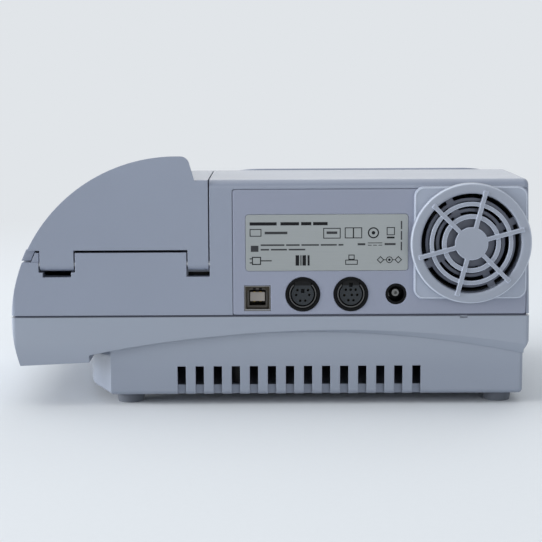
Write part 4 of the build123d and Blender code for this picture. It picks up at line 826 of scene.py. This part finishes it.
def level_face(z: float) -> Face:
    """Returns the plane at height z, seen from above."""
    return Face((0.0, 0.0, z), (1.0, 0.0, 0.0), (0.0, 1.0, 0.0))


def under_face(z: float) -> Face:
    """Returns the plane at height z, seen from below, where v is minus y."""
    return Face((0.0, 0.0, z), (1.0, 0.0, 0.0), (0.0, -1.0, 0.0))


def slope_face(lift: float) -> Face:
    """Finds the plane of the display slope, with its up direction up the slope.

    Args:
        lift: How far it is lifted out of the slope.

    Returns:
        The plane.
    """
    along, across = math.cos(SLOPE), math.sin(SLOPE)
    origin = (0.0, SLOPE_TOP_Y - lift * across, SLOPE_TOP_Z + lift * along)
    return Face(origin, (1.0, 0.0, 0.0), (0.0, along, across))


class Shape:
    """A mesh in the making on a flat face: u to the right, v up and w out of it, in millimetres.

    It has a middle of its own on the face, from which all its places are counted. SHARP is the angle in
    radians from which an edge is rounded, and corners nearer than CLOSE become one.
    """

    SHARP = 0.6
    CLOSE = 0.0005

    def __init__(self, u: float = 0.0, v: float = 0.0) -> None:
        """Starts an empty mesh with its middle at u, v."""
        self.mesh = bmesh.new()
        self.middle = Vector((u, v, 0.0))

    def at(self, u: float, v: float) -> Matrix:
        """Returns the move to a place on the face."""
        return Matrix.Translation(self.middle + Vector((u, v, 0.0)))

    def patch(self, u: float, v: float, width: float, height: float, turn: float = 0.0) -> bmesh.types.BMFace:
        """Adds a flat rectangle.

        Args:
            u: Its middle.
            v: Its middle.
            width: Its size along u.
            height: Its size along v.
            turn: Its turn in degrees.

        Returns:
            Its face.
        """
        place = self.at(u, v) @ Matrix.Rotation(math.radians(turn), 4, "Z")
        place = place @ Matrix.Diagonal((width, height, 1.0, 1.0))
        made = bmesh.ops.create_grid(self.mesh, x_segments=1, y_segments=1, size=0.5, matrix=place)
        return made["verts"][0].link_faces[0]

    def strip(self, start: Flat, end: Flat, width: float) -> None:
        """Adds a flat strip along a line.

        Args:
            start: One end.
            end: The other end.
            width: How wide it is.
        """
        du, dv = end[0] - start[0], end[1] - start[1]
        turn = math.degrees(math.atan2(dv, du))
        self.patch((start[0] + end[0]) / 2, (start[1] + end[1]) / 2, math.hypot(du, dv), width, turn)

    def hollow(self, face: bmesh.types.BMFace, line: float) -> None:
        """Leaves only a line of the given width round the edge of a face."""
        bmesh.ops.inset_individual(self.mesh, faces=[face], thickness=line, use_even_offset=True)
        bmesh.ops.delete(self.mesh, geom=[face], context="FACES_ONLY")

    def border(self, u: float, v: float, width: float, height: float, line: float, turn: float = 0.0) -> None:
        """Adds a rectangular outline, given by its outer size and the width of its line."""
        self.hollow(self.patch(u, v, width, height, turn), line)

    def rounded_border(
        self, u: float, v: float, width: float, height: float, line: float, radius: float,
    ) -> None:
        """Adds a rectangular outline with rounded corners.

        Args:
            u: Its middle.
            v: Its middle.
            width: Its outer size along u.
            height: Its outer size along v.
            line: The width of the line.
            radius: The outer radius of its corners.
        """
        corners = list(self.patch(u, v, width, height).verts)
        made = bmesh.ops.bevel(
            self.mesh, geom=corners, offset=radius, segments=8, profile=0.5, affect="VERTICES", material=-1,
        )
        self.hollow(made["verts"][0].link_faces[0], line)

    def disc(self, u: float, v: float, radius: float, segments: int = 24) -> None:
        """Adds a flat disc."""
        bmesh.ops.create_circle(
            self.mesh, cap_ends=True, segments=segments, radius=radius, matrix=self.at(u, v),
        )

    def ring(self, u: float, v: float, radius: float, line: float, segments: int = 40) -> None:
        """Adds a flat ring.

        Args:
            u: Its middle.
            v: Its middle.
            radius: Its outer radius.
            line: The width of the line.
            segments: How many sides it has.
        """
        edges = []
        for size in (radius, radius - line):
            made = bmesh.ops.create_circle(self.mesh, segments=segments, radius=size, matrix=self.at(u, v))
            edges += dict.fromkeys(edge for vert in made["verts"] for edge in vert.link_edges)
        bmesh.ops.bridge_loops(self.mesh, edges=edges)

    def thicken(self, height: float, base: float = 0.0) -> None:
        """Gives every flat face a thickness.

        Args:
            height: How far the far side stands out.
            base: Where the near side lies.
        """
        bmesh.ops.recalc_face_normals(self.mesh, faces=self.mesh.faces[:])
        made = bmesh.ops.extrude_face_region(self.mesh, geom=self.mesh.faces[:])
        moved = [vert for vert in made["geom"] if isinstance(vert, bmesh.types.BMVert)]
        bmesh.ops.translate(self.mesh, verts=moved, vec=(0.0, 0.0, height - base))
        bmesh.ops.translate(self.mesh, verts=self.mesh.verts[:], vec=(0.0, 0.0, base))
        bmesh.ops.recalc_face_normals(self.mesh, faces=self.mesh.faces[:])

    def soften(self, width: float, segments: int = 2) -> None:
        """Rounds every sharp edge.

        Args:
            width: The width of the rounding.
            segments: How many faces it has.
        """
        sharp = [edge for edge in self.mesh.edges if edge.is_manifold and edge.calc_face_angle() > self.SHARP]
        bmesh.ops.bevel(
            self.mesh, geom=sharp, offset=width, segments=segments, profile=0.5, affect="EDGES", material=-1,
            clamp_overlap=True,
        )

    def loose(self) -> list[bmesh.types.BMVert]:
        """Returns the corners that no finished solid has claimed."""
        return [vert for vert in self.mesh.verts if not vert.tag]

    def turned(
        self, outline: tuple[Flat, ...], u: float = 0.0, v: float = 0.0, segments: int = 32,
    ) -> None:
        """Adds a solid turned about the line that stands on a point of the face.

        Args:
            outline: Radius and height of each corner, from the axis and back to it.
            u: The axis.
            v: The axis.
            segments: How many sides it has.
        """
        corners = [self.mesh.verts.new((radius, 0.0, height)) for radius, height in outline]
        edges = [self.mesh.edges.new(pair) for pair in zip(corners, corners[1:])]
        bmesh.ops.spin(
            self.mesh, geom=corners + edges, cent=ZERO, axis=(0.0, 0.0, 1.0), dvec=ZERO,
            angle=2 * math.pi, steps=segments, use_merge=True, use_duplicate=False,
        )
        bmesh.ops.remove_doubles(self.mesh, verts=self.loose(), dist=self.CLOSE)
        solid = self.loose()
        bmesh.ops.transform(self.mesh, verts=solid, matrix=self.at(u, v))
        for vert in solid:
            vert.tag = True
        bmesh.ops.recalc_face_normals(self.mesh, faces=self.mesh.faces[:])


class Bench:
    """Turns finished shapes into pieces that ride on the analyser, shaded sharp from CREASE on."""

    CREASE = math.radians(35)

    def __init__(self, finishes: Finishes) -> None:
        """Keeps the finishes."""
        self.finishes = finishes

    def fit(self, shape: Shape, name: str, face: Face, finish: Finish, body: str = "case") -> None:
        """Places a shape on a face, dresses it and lets it ride on a body.

        Args:
            shape: The finished shape.
            name: The piece's name.
            face: Where its own axes lie.
            finish: What it is made of.
            body: The body it moves with.
        """
        bmesh.ops.transform(shape.mesh, matrix=face.matrix(), verts=shape.mesh.verts[:])
        piece = object_from(shape.mesh, name)
        piece.data.shade_smooth()
        piece.data.set_sharp_from_angle(angle=self.CREASE)
        self.finishes.dress(piece, finish)
        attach(piece, body)
        LOG.info("%s: %d faces on %s", name, len(piece.data.polygons), body)


@dataclass(frozen=True)
class Row:
    """Print in one line: the height of its middle, how tall it is, and where each bar starts and ends."""

    v: float
    height: float
    bars: tuple[Flat, ...]


@dataclass(frozen=True)
class Target:
    """A round mark: a ring with a dot in it."""

    u: float
    v: float
    radius: float
    line: float
    dot: float


@dataclass
class RatingLabel:
    """The print on the silver plate: plain bars, boxes and marks.

    The strong print has a title, an underline, a supply mark and, above each socket, a plug, stripes, a tray
    with a sheet, and a polarity. The faint print has lines of small print and dashes up the right edge.
    """

    face_y: float = 62.62
    ink: float = 0.03
    line: float = 0.32
    strong_rows: tuple[Row, ...] = (
        Row(72.7, 1.25, ((-8.0, 2.6), (4.1, 11.4), (12.2, 16.2), (16.9, 22.6))),
        Row(67.1, 0.7, ((45.9, 48.9),)),
        Row(65.0, 0.26, ((38.4, 44.1),)),
        Row(64.1, 0.26, ((38.4, 39.9), (40.5, 42.0), (42.6, 44.1))),
        Row(58.9, 0.4, ((-8.05, -7.15),)),
        Row(58.3, 0.26, ((44.8, 45.6), (48.2, 48.9))),
        Row(58.2, 4.1, ((10.0, 11.4), (11.9, 12.3), (12.7, 14.1), (14.7, 15.5))),
        Row(58.1, 0.4, ((-3.6, 0.6),)),
        Row(57.3, 0.4, ((-8.05, -7.15),)),
    )
    faint_rows: tuple[Row, ...] = (
        Row(72.0, 3.2, ((51.35, 51.85),)),
        Row(69.1, 1.0, ((-2.1, 6.8), (22.2, 26.4))),
        Row(67.9, 3.4, ((51.35, 51.85),)),
        Row(64.5, 0.8, ((34.4, 37.4), (45.0, 49.3))),
        Row(64.3, 0.6, ((-3.7, 5.6), (6.3, 11.6), (12.3, 19.2), (19.9, 26.2), (26.9, 28.8))),
        Row(63.7, 3.4, ((51.35, 51.85),)),
        Row(62.9, 2.4, ((-7.6, -4.6),)),
        Row(62.5, 0.6, ((-3.7, -0.4), (0.3, 6.6), (7.3, 13.8))),
    )
    boxes: tuple[Box, ...] = (
        (-5.7, 69.2, 4.6, 3.0), (24.3, 68.9, 6.8, 4.2), (31.1, 69.0, 3.5, 4.3), (34.4, 69.0, 3.5, 4.3),
        (47.4, 69.6, 3.2, 3.2), (32.0, 57.4, 4.9, 2.0), (32.0, 59.4, 2.4, 2.0),
    )
    plug: Box = (-5.4, 58.1, 3.6, 3.2)
    plug_line: float = 0.4
    diamonds: tuple[Box, ...] = ((43.4, 58.3, 2.1, 2.1), (50.4, 58.3, 2.1, 2.1))
    targets: tuple[Target, ...] = (Target(40.6, 69.0, 2.2, 0.5, 0.7), Target(46.9, 58.3, 1.3, 0.3, 0.5))

    def rows(self, rows: tuple[Row, ...]) -> Shape:
        """Draws rows of bars.

        Args:
            rows: The rows.

        Returns:
            The shape of all of them.
        """
        shape = Shape()
        for row in rows:
            for low, high in row.bars:
                shape.patch((low + high) / 2, row.v, high - low, row.height)
        return shape

    def build(self, bench: Bench) -> None:
        """Prints the plate in two strengths of ink.

        Args:
            bench: What fits the pieces.
        """
        strong, faint = self.rows(self.strong_rows), self.rows(self.faint_rows)
        for box in self.boxes:
            strong.border(*box, self.line)
        strong.border(*self.plug, self.plug_line)
        for diamond in self.diamonds:
            strong.border(*diamond, self.line, turn=45.0)
        for target in self.targets:
            strong.ring(target.u, target.v, target.radius, target.line)
            strong.disc(target.u, target.v, target.dot)
        for shape, name, finish in (
            (strong, "label_print", Finishes.INK), (faint, "label_small_print", Finishes.FAINT_INK),
        ):
            shape.thicken(self.ink)
            bench.fit(shape, name, rear_face(self.face_y), finish)


@dataclass
class UsbSocket:
    """The dark lining and black contact openings, painted shade inside the square socket, its contacts and its
    bright rim.
    """

    x: float = 5.1
    z: float = 43.2
    outer: Flat = (10.1, 9.8)
    inner: Flat = (8.7, 8.4)
    face_y: float = 62.5
    lining_y: float = 58.2
    lining_depth: float = 2.6
    lining_wall: float = 1.1
    opening: Flat = (1.1, 0.8)
    opening_rise: float = 3.55
    contact_y: float = 51.8
    contact_length: float = 9.0
    contact: Flat = (0.9, 0.18)
    contact_side: float = 1.2
    contact_rises: Flat = (-1.36, 2.36)
    rim_wall: float = 0.22
    rim_foot: Box = (0.0, -4.48, 9.5, 0.3)
    film: float = 0.03

    def build(self, bench: Bench) -> None:
        """Builds the dark lining with its two black contact openings, both painted shade, the four gilt
        contacts and the rim.

        Args:
            bench: What fits the pieces.
        """
        lining, openings, contacts, rim = (Shape(-self.x, self.z) for _ in range(4))
        lining.border(0.0, 0.0, *self.inner, self.lining_wall)
        lining.thicken(self.lining_depth)
        lining.soften(width=0.15)
        bench.fit(lining, "usb_lining_shade", rear_face(self.lining_y), Finishes.SHADED_LINING)
        for side in (-self.contact_side, self.contact_side):
            openings.patch(side, self.opening_rise, *self.opening)
            for rise in self.contact_rises:
                contacts.patch(side, rise, *self.contact)
        openings.thicken(self.film)
        front = rear_face(self.lining_y + self.lining_depth)
        bench.fit(openings, "usb_opening_shade", front, Finishes.BLACK_AND_SHADE)
        contacts.thicken(self.contact_length)
        contacts.soften(width=0.04, segments=1)
        bench.fit(contacts, "usb_contacts", rear_face(self.contact_y), Finishes.GOLD)
        rim.border(0.0, 0.0, *self.outer, self.rim_wall)
        rim.patch(*self.rim_foot)
        rim.thicken(self.film)
        bench.fit(rim, "usb_rim", rear_face(self.face_y), Finishes.RIM)


@dataclass
class RoundSockets:
    """The contacts deep in the two round sockets, darkened as painted shade, and the leaf contact beside the
    power pin.
    """

    z: float = 44.7
    scanner_x: float = -12.8
    printer_x: float = -31.8
    jack_x: float = -49.6
    contact_y: float = 58.9
    contact_r: float = 0.42
    contact_wall: float = 0.16
    contact_length: float = 0.5
    six: tuple[Flat, ...] = ((2.1, 1.6), (2.6, -0.3), (1.0, -2.6), (-2.1, 1.6), (-2.6, -0.3), (-1.0, -2.6))
    eight: tuple[Flat, ...] = (
        (-2.0, 1.7), (-0.1, 1.7), (1.9, 1.7), (-2.6, -0.5), (0.4, -0.4), (2.5, -0.4), (-1.0, -2.5),
        (1.1, -2.5),
    )
    leaf: Flat = (0.22, 0.62)
    leaf_y: float = 54.0
    leaf_r: float = 2.85
    leaf_length: float = 5.0
    leaf_turns: tuple[float, ...] = (-24.0, -12.0, 0.0, 12.0, 24.0)

    def build(self, bench: Bench) -> None:
        """Builds the tube contacts and the leaf.

        Args:
            bench: What fits the pieces.
        """
        tubes, leaf = Shape(0.0, self.z), Shape(-self.jack_x, self.z)
        for x, places in ((self.scanner_x, self.six), (self.printer_x, self.eight)):
            for u, v in places:
                tubes.ring(u - x, v, self.contact_r, self.contact_wall, segments=14)
        tubes.thicken(self.contact_length)
        depth = rear_face(self.contact_y)
        bench.fit(tubes, "round_socket_contacts", depth, Finishes.SHADED_GOLD)
        for turn in self.leaf_turns:
            angle = math.radians(turn)
            leaf.patch(-self.leaf_r * math.cos(angle), self.leaf_r * math.sin(angle), *self.leaf, -turn)
        leaf.thicken(self.leaf_length)
        bench.fit(leaf, "power_jack_leaf", rear_face(self.leaf_y), Finishes.NICKEL)


@dataclass
class FanDetails:
    """The fan's hub plate behind the grilles, and the raised lip round the guard's square flange, whose pale
    colour is a painted highlight.
    """

    hub_y: float = 60.1
    hub: tuple[Flat, ...] = ((0.0, 0.14), (8.2, 0.14), (8.6, 0.1), (8.7, 0.0), (0.0, 0.0))
    flange_y: float = 64.5
    flange: Flat = (43.7, 43.7)
    flange_r: float = 3.7
    lip: float = 0.45
    lip_height: float = 0.15

    def build(self, bench: Bench) -> None:
        """Builds the turning hub plate and the fixed lip.

        Args:
            bench: What fits the pieces.
        """
        hub, lip = Shape(-FAN_X, FAN_Z), Shape(-FAN_X, FAN_Z)
        hub.turned(self.hub, segments=48)
        bench.fit(hub, "fan_hub_plate", rear_face(self.hub_y), Finishes.MODULE, body="fan")
        lip.rounded_border(0.0, 0.0, *self.flange, self.lip, self.flange_r)
        lip.thicken(self.lip_height)
        lip.soften(width=0.06, segments=1)
        bench.fit(lip, "fan_guard_lip_highlight", rear_face(self.flange_y), Finishes.LIP_HIGHLIGHT)


@dataclass
class HingeRecessShade:
    """A black strip of painted shade at the bottom of the recess under the lid's near knuckle."""

    x: float = 28.25
    z: float = 52.6
    size: Flat = (8.5, 1.3)
    wall_y: float = 57.2
    depth: float = 0.22

    def build(self, bench: Bench) -> None:
        """Builds the strip on the recess's inner wall.

        Args:
            bench: What fits the piece.
        """
        strip = Shape(-self.x, self.z)
        strip.patch(0.0, 0.0, *self.size)
        strip.thicken(self.depth)
        strip.soften(width=0.05)
        bench.fit(strip, "hinge_recess_shade", rear_face(self.wall_y), Finishes.BLACK_AND_SHADE)


@dataclass
class Display:
    """The lit panel under the window, its dark border and what it shows."""

    v: float = -26.0
    opening: Flat = (71.9, 27.9)
    border: float = 3.0
    border_lift: float = -0.35
    border_depth: float = 0.25
    panel: Flat = (69.0, 25.0)
    panel_lift: float = -1.8
    panel_depth: float = 0.4
    print_depth: float = 0.03
    digit: Flat = (6.4, 12.6)
    digit_v: float = 0.8
    stroke: float = 1.5
    reading: tuple[tuple[float, str], ...] = ((8.5, "afgcd"), (20.5, "afgedc"))
    point: Box = (14.5, -5.5, 1.5, 1.5)
    bars: int = 8
    bar_u: float = -30.5
    bar_pitch: float = 3.9
    bar_width: float = 2.6
    bar_foot: float = -5.6
    bar_height: float = 4.0
    bar_rise: float = 0.9
    scale: Box = (-16.8, -7.2, 31.0, 0.4)
    frame: Box = (-28.3, 7.4, 7.0, 3.6)
    frame_line: float = 0.4
    cells: tuple[Box, ...] = ((-30.1, 7.4, 1.2, 2.2), (-28.3, 7.4, 1.2, 2.2), (-26.5, 7.4, 1.2, 2.2))

    def segment_places(self, u: float, v: float) -> dict[str, tuple[Flat, Flat]]:
        """Finds both ends of each of the seven strokes of a digit.

        Args:
            u: The digit's middle.
            v: The digit's middle.

        Returns:
            The ends by stroke letter.
        """
        w, h = self.digit[0] / 2, self.digit[1] / 2
        gap = self.stroke * 0.55
        return {
            "a": ((u - w + gap, v + h), (u + w - gap, v + h)),
            "b": ((u + w, v + h - gap), (u + w, v + gap)),
            "c": ((u + w, v - gap), (u + w, v - h + gap)),
            "d": ((u - w + gap, v - h), (u + w - gap, v - h)),
            "e": ((u - w, v - gap), (u - w, v - h + gap)),
            "f": ((u - w, v + h - gap), (u - w, v + gap)),
            "g": ((u - w + gap, v), (u + w - gap, v)),
        }

    def marks(self) -> Shape:
        """Draws a plain reading of two digits, a rising set of bars on a scale, and cells in a frame.

        Returns:
            The shape of all of them.
        """
        shape = Shape(DISPLAY_X, self.v)
        for u, letters in self.reading:
            strokes = self.segment_places(u, self.digit_v)
            for letter in letters:
                shape.strip(*strokes[letter], self.stroke)
        for place in range(self.bars):
            height = self.bar_height + place * self.bar_rise
            middle = (self.bar_u + place * self.bar_pitch, self.bar_foot + height / 2)
            shape.patch(*middle, self.bar_width, height)
        for box in (self.point, self.scale, *self.cells):
            shape.patch(*box)
        shape.border(*self.frame, self.frame_line)
        shape.thicken(self.print_depth)
        return shape

    def build(self, bench: Bench) -> None:
        """Builds the panel, its border and the dark segments.

        Args:
            bench: What fits the pieces.
        """
        glow, border = Shape(DISPLAY_X, self.v), Shape(DISPLAY_X, self.v)
        glow.patch(0.0, 0.0, *self.panel)
        glow.thicken(self.panel_depth)
        bench.fit(glow, "display_panel", slope_face(self.panel_lift), Finishes.SCREEN)
        border.border(0.0, 0.0, *self.opening, self.border)
        border.thicken(self.border_depth)
        bench.fit(border, "display_border", slope_face(self.border_lift), Finishes.MASK)
        face = slope_face(self.panel_lift + self.panel_depth)
        bench.fit(self.marks(), "display_marks", face, Finishes.SEGMENT)


@dataclass
class KeyMarks:
    """A plain mark on each key: an arrow to the left, a ring and an arrow to the right."""

    pitch: float = 27.0
    v: float = -51.4
    lift: float = 2.9
    size: float = 1.5
    reach: float = 0.9
    line: float = 0.45
    ink: float = 0.02

    def build(self, bench: Bench) -> None:
        """Prints the three marks, each riding on its own key.

        Args:
            bench: What fits the pieces.
        """
        for way, body in ((-1, "key_left"), (0, "key_middle"), (1, "key_right")):
            shape = Shape(DISPLAY_X + way * self.pitch, self.v)
            if way:
                for side in (-self.size, self.size):
                    shape.strip((-way * self.reach, side), (way * self.reach, 0.0), self.line)
            else:
                shape.ring(0.0, 0.0, self.size, self.line)
            shape.thicken(self.ink)
            face = slope_face(self.lift)
            bench.fit(shape, body + "_mark", face, Finishes.PALE_INK, body=body)


@dataclass
class MeasuringBay:
    """Fine parts under the lid: deck screws, a mark for the cartridge, the lens and the lid's own screws."""

    well: Flat = (60.0, 2.0)
    deck_z: float = 57.0
    liner_z: float = 62.9
    screw_places: tuple[Flat, ...] = ((34.0, 40.0), (34.0, -48.0), (84.0, 40.0), (80.0, -48.0))
    screw: tuple[Flat, ...] = ((0.0, 1.1), (1.21, 1.02), (1.892, 0.7), (2.2, 0.25), (2.2, 0.0), (0.0, 0.0))
    drive: Flat = (1.9, 0.42)
    drive_lift: float = 1.0
    drive_depth: float = 0.12
    mark_v: float = -25.0
    mark_r: float = 6.0
    mark_line: float = 0.5
    arrow: float = 3.0
    arrow_line: float = 0.6
    barb: Flat = (2.2, 0.8)
    ink: float = 0.03
    rib: Flat = (1.2, 0.6)
    rib_side: Flat = (9.0, 9.7)
    rib_low_z: float = 39.0
    rib_high_z: float = 57.2
    lens: tuple[Flat, ...] = ((0.0, 0.5), (1.2, 0.38), (2.2, 0.0), (2.2, -0.8), (0.0, -0.8))
    lens_x: float = 44.1
    lens_z: float = 44.2

    def screws(self, places: tuple[Flat, ...]) -> tuple[Shape, Shape]:
        """Makes low round screw heads and a black cross on each, painted shade in its drive.

        Args:
            places: The screws' middles.

        Returns:
            The shape of the heads and the shape of the crosses.
        """
        heads, drives = Shape(), Shape()
        for u, v in places:
            heads.turned(self.screw, u, v, segments=28)
            for turn in (30.0, 120.0):
                drives.patch(u, v, *self.drive, turn)
        drives.thicken(self.drive_depth)
        return heads, drives

    def deck_parts(self, bench: Bench) -> None:
        """Builds the deck's screws and the mark that shows which way the cartridge goes in.

        Args:
            bench: What fits the pieces.
        """
        deck, tops = level_face(self.deck_z), level_face(self.deck_z + self.drive_lift)
        heads, drives = self.screws(self.screw_places)
        bench.fit(heads, "deck_screws", deck, Finishes.SCREW)
        bench.fit(drives, "deck_screw_drive_shade", tops, Finishes.BLACK_AND_SHADE)
        mark = Shape(self.well[0], self.mark_v)
        tip = (0.0, self.arrow)
        mark.strip((0.0, -self.arrow), tip, self.arrow_line)
        for side in (-1, 1):
            mark.strip((side * self.barb[0], self.barb[1]), tip, self.arrow_line)
        mark.ring(0.0, 0.0, self.mark_r, self.mark_line)
        mark.thicken(self.ink)
        bench.fit(mark, "cartridge_mark", deck, Finishes.PALE_INK)

    def well_parts(self, bench: Bench) -> None:
        """Builds the guide ribs down the well's walls and the lens in its side port.

        Args:
            bench: What fits the pieces.
        """
        ribs, lens = Shape(*self.well), Shape(self.well[1], self.lens_z)
        along, across = self.rib_side
        for v in (-across, across):
            for u in (-along, along):
                ribs.patch(u, v, *self.rib)
        ribs.thicken(self.rib_high_z, self.rib_low_z)
        ribs.soften(width=0.15)
        bench.fit(ribs, "well_ribs", level_face(0.0), Finishes.HOLDER)
        lens.turned(self.lens)
        wall = Face((self.lens_x, 0.0, 0.0), (0.0, 1.0, 0.0), (0.0, 0.0, 1.0))
        bench.fit(lens, "optic_lens", wall, Finishes.WINDOW)

    def lid_parts(self, bench: Bench) -> None:
        """Builds the screws that hold the liner in the lid.

        Args:
            bench: What fits the pieces.
        """
        liner, tops = under_face(self.liner_z), under_face(self.liner_z - self.drive_lift)
        heads, drives = self.screws(tuple((u, -v) for u, v in self.screw_places))
        bench.fit(heads, "liner_screws", liner, Finishes.SCREW, body="lid")
        bench.fit(drives, "liner_screw_drive_shade", tops, Finishes.BLACK_AND_SHADE, body="lid")

    def build(self, bench: Bench) -> None:
        """Builds the bay's fine parts.

        Args:
            bench: What fits the pieces.
        """
        self.deck_parts(bench)
        self.well_parts(bench)
        self.lid_parts(bench)


@dataclass
class Underside:
    """Moulded marks on the base plate: a blank framed field, ejector rings and a seat round each foot."""

    plate_z: float = 4.1
    height: float = 0.3
    line: float = 0.8
    field: Box = (-18.0, 0.0, 64.0, 34.0)
    field_r: float = 4.0
    ejectors: tuple[Flat, ...] = ((-70.0, -30.0), (-70.0, 30.0), (34.0, -30.0), (34.0, 30.0))
    ejector_r: float = 2.6
    ejector_line: float = 0.35
    feet: tuple[Flat, ...] = ((-91.5, -50.5), (-91.5, 49.0), (56.7, -50.5), (56.7, 49.0))
    seat_r: float = 7.4

    def build(self, bench: Bench) -> None:
        """Builds the raised lines and rings.

        Args:
            bench: What fits the piece.
        """
        lines = Shape()
        lines.rounded_border(*self.field, self.line, self.field_r)
        for u, v in self.ejectors:
            lines.ring(u, v, self.ejector_r, self.ejector_line, segments=32)
        for u, v in self.feet:
            lines.ring(u, v, self.seat_r, self.line, segments=48)
        lines.thicken(self.height)
        lines.soften(width=0.08, segments=1)
        bench.fit(lines, "base_plate_lines", under_face(self.plate_z), Finishes.BASE)


@dataclass
class MainBoard:
    """The fine parts of the main board: chip legs, black crosses of painted shade in the can tops' vents, and
    plug-in headers.
    """

    top_z: float = 38.2
    chip: Flat = (-27.5, 24.1)
    legs: int = 11
    leg: Flat = (0.45, 1.4)
    leg_reach: float = 7.7
    leg_pitch: float = 1.15
    leg_low: float = 0.02
    leg_high: float = 0.3
    cans: tuple[Flat, ...] = ((-60.0, 2.1), (-60.0, 12.1), (-60.0, 22.1))
    can_height: float = 10.0
    vent: Flat = (5.0, 0.3)
    vent_depth: float = 0.05
    headers: tuple[Box, ...] = ((-6.0, 8.0, 14.0, 4.6), (-44.0, 2.0, 9.0, 4.6), (4.0, 34.0, 9.0, 4.6))
    header_height: float = 5.0

    def build(self, bench: Bench) -> None:
        """Builds the board's fine parts.

        Args:
            bench: What fits the pieces.
        """
        legs, vents, headers = Shape(*self.chip), Shape(), Shape()
        board, tops = level_face(self.top_z), level_face(self.top_z + self.can_height)
        width, length = self.leg
        for place in range(self.legs):
            along = (place - self.legs // 2) * self.leg_pitch
            for side in (-self.leg_reach, self.leg_reach):
                legs.patch(along, side, width, length)
                legs.patch(side, along, length, width)
        legs.thicken(self.leg_high, self.leg_low)
        bench.fit(legs, "chip_legs", board, Finishes.NICKEL)
        for u, v in self.cans:
            for turn in (45.0, 135.0):
                vents.patch(u, v, *self.vent, turn)
        vents.thicken(self.vent_depth)
        bench.fit(vents, "capacitor_vent_shade", tops, Finishes.BLACK_AND_SHADE)
        for header in self.headers:
            headers.patch(*header)
        headers.thicken(self.header_height)
        headers.soften(width=0.3)
        bench.fit(headers, "board_headers", board, Finishes.TONGUE)


def dress_nodes(finishes: Finishes) -> None:
    """Puts its finish on every CAD node.

    Args:
        finishes: The analyser's finishes.
    """
    for finish, names in NODE_FINISHES.items():
        for name in names:
            finishes.dress(frame["nodes"][name], finish)
        LOG.info("%s: dressed %s", finish.name, ", ".join(names))


def main() -> None:
    """Builds the studio, dresses the analyser and adds its fine parts."""
    logging.basicConfig(level=logging.INFO, format="%(message)s")
    finishes = Finishes()
    Studio().build()
    dress_nodes(finishes)
    bench = Bench(finishes)
    details = (
        RatingLabel(), UsbSocket(), RoundSockets(), FanDetails(), HingeRecessShade(), Display(), KeyMarks(),
        MeasuringBay(), Underside(), MainBoard(),
    )
    for detail in details:
        detail.build(bench)


if __name__ == "__main__":
    main()
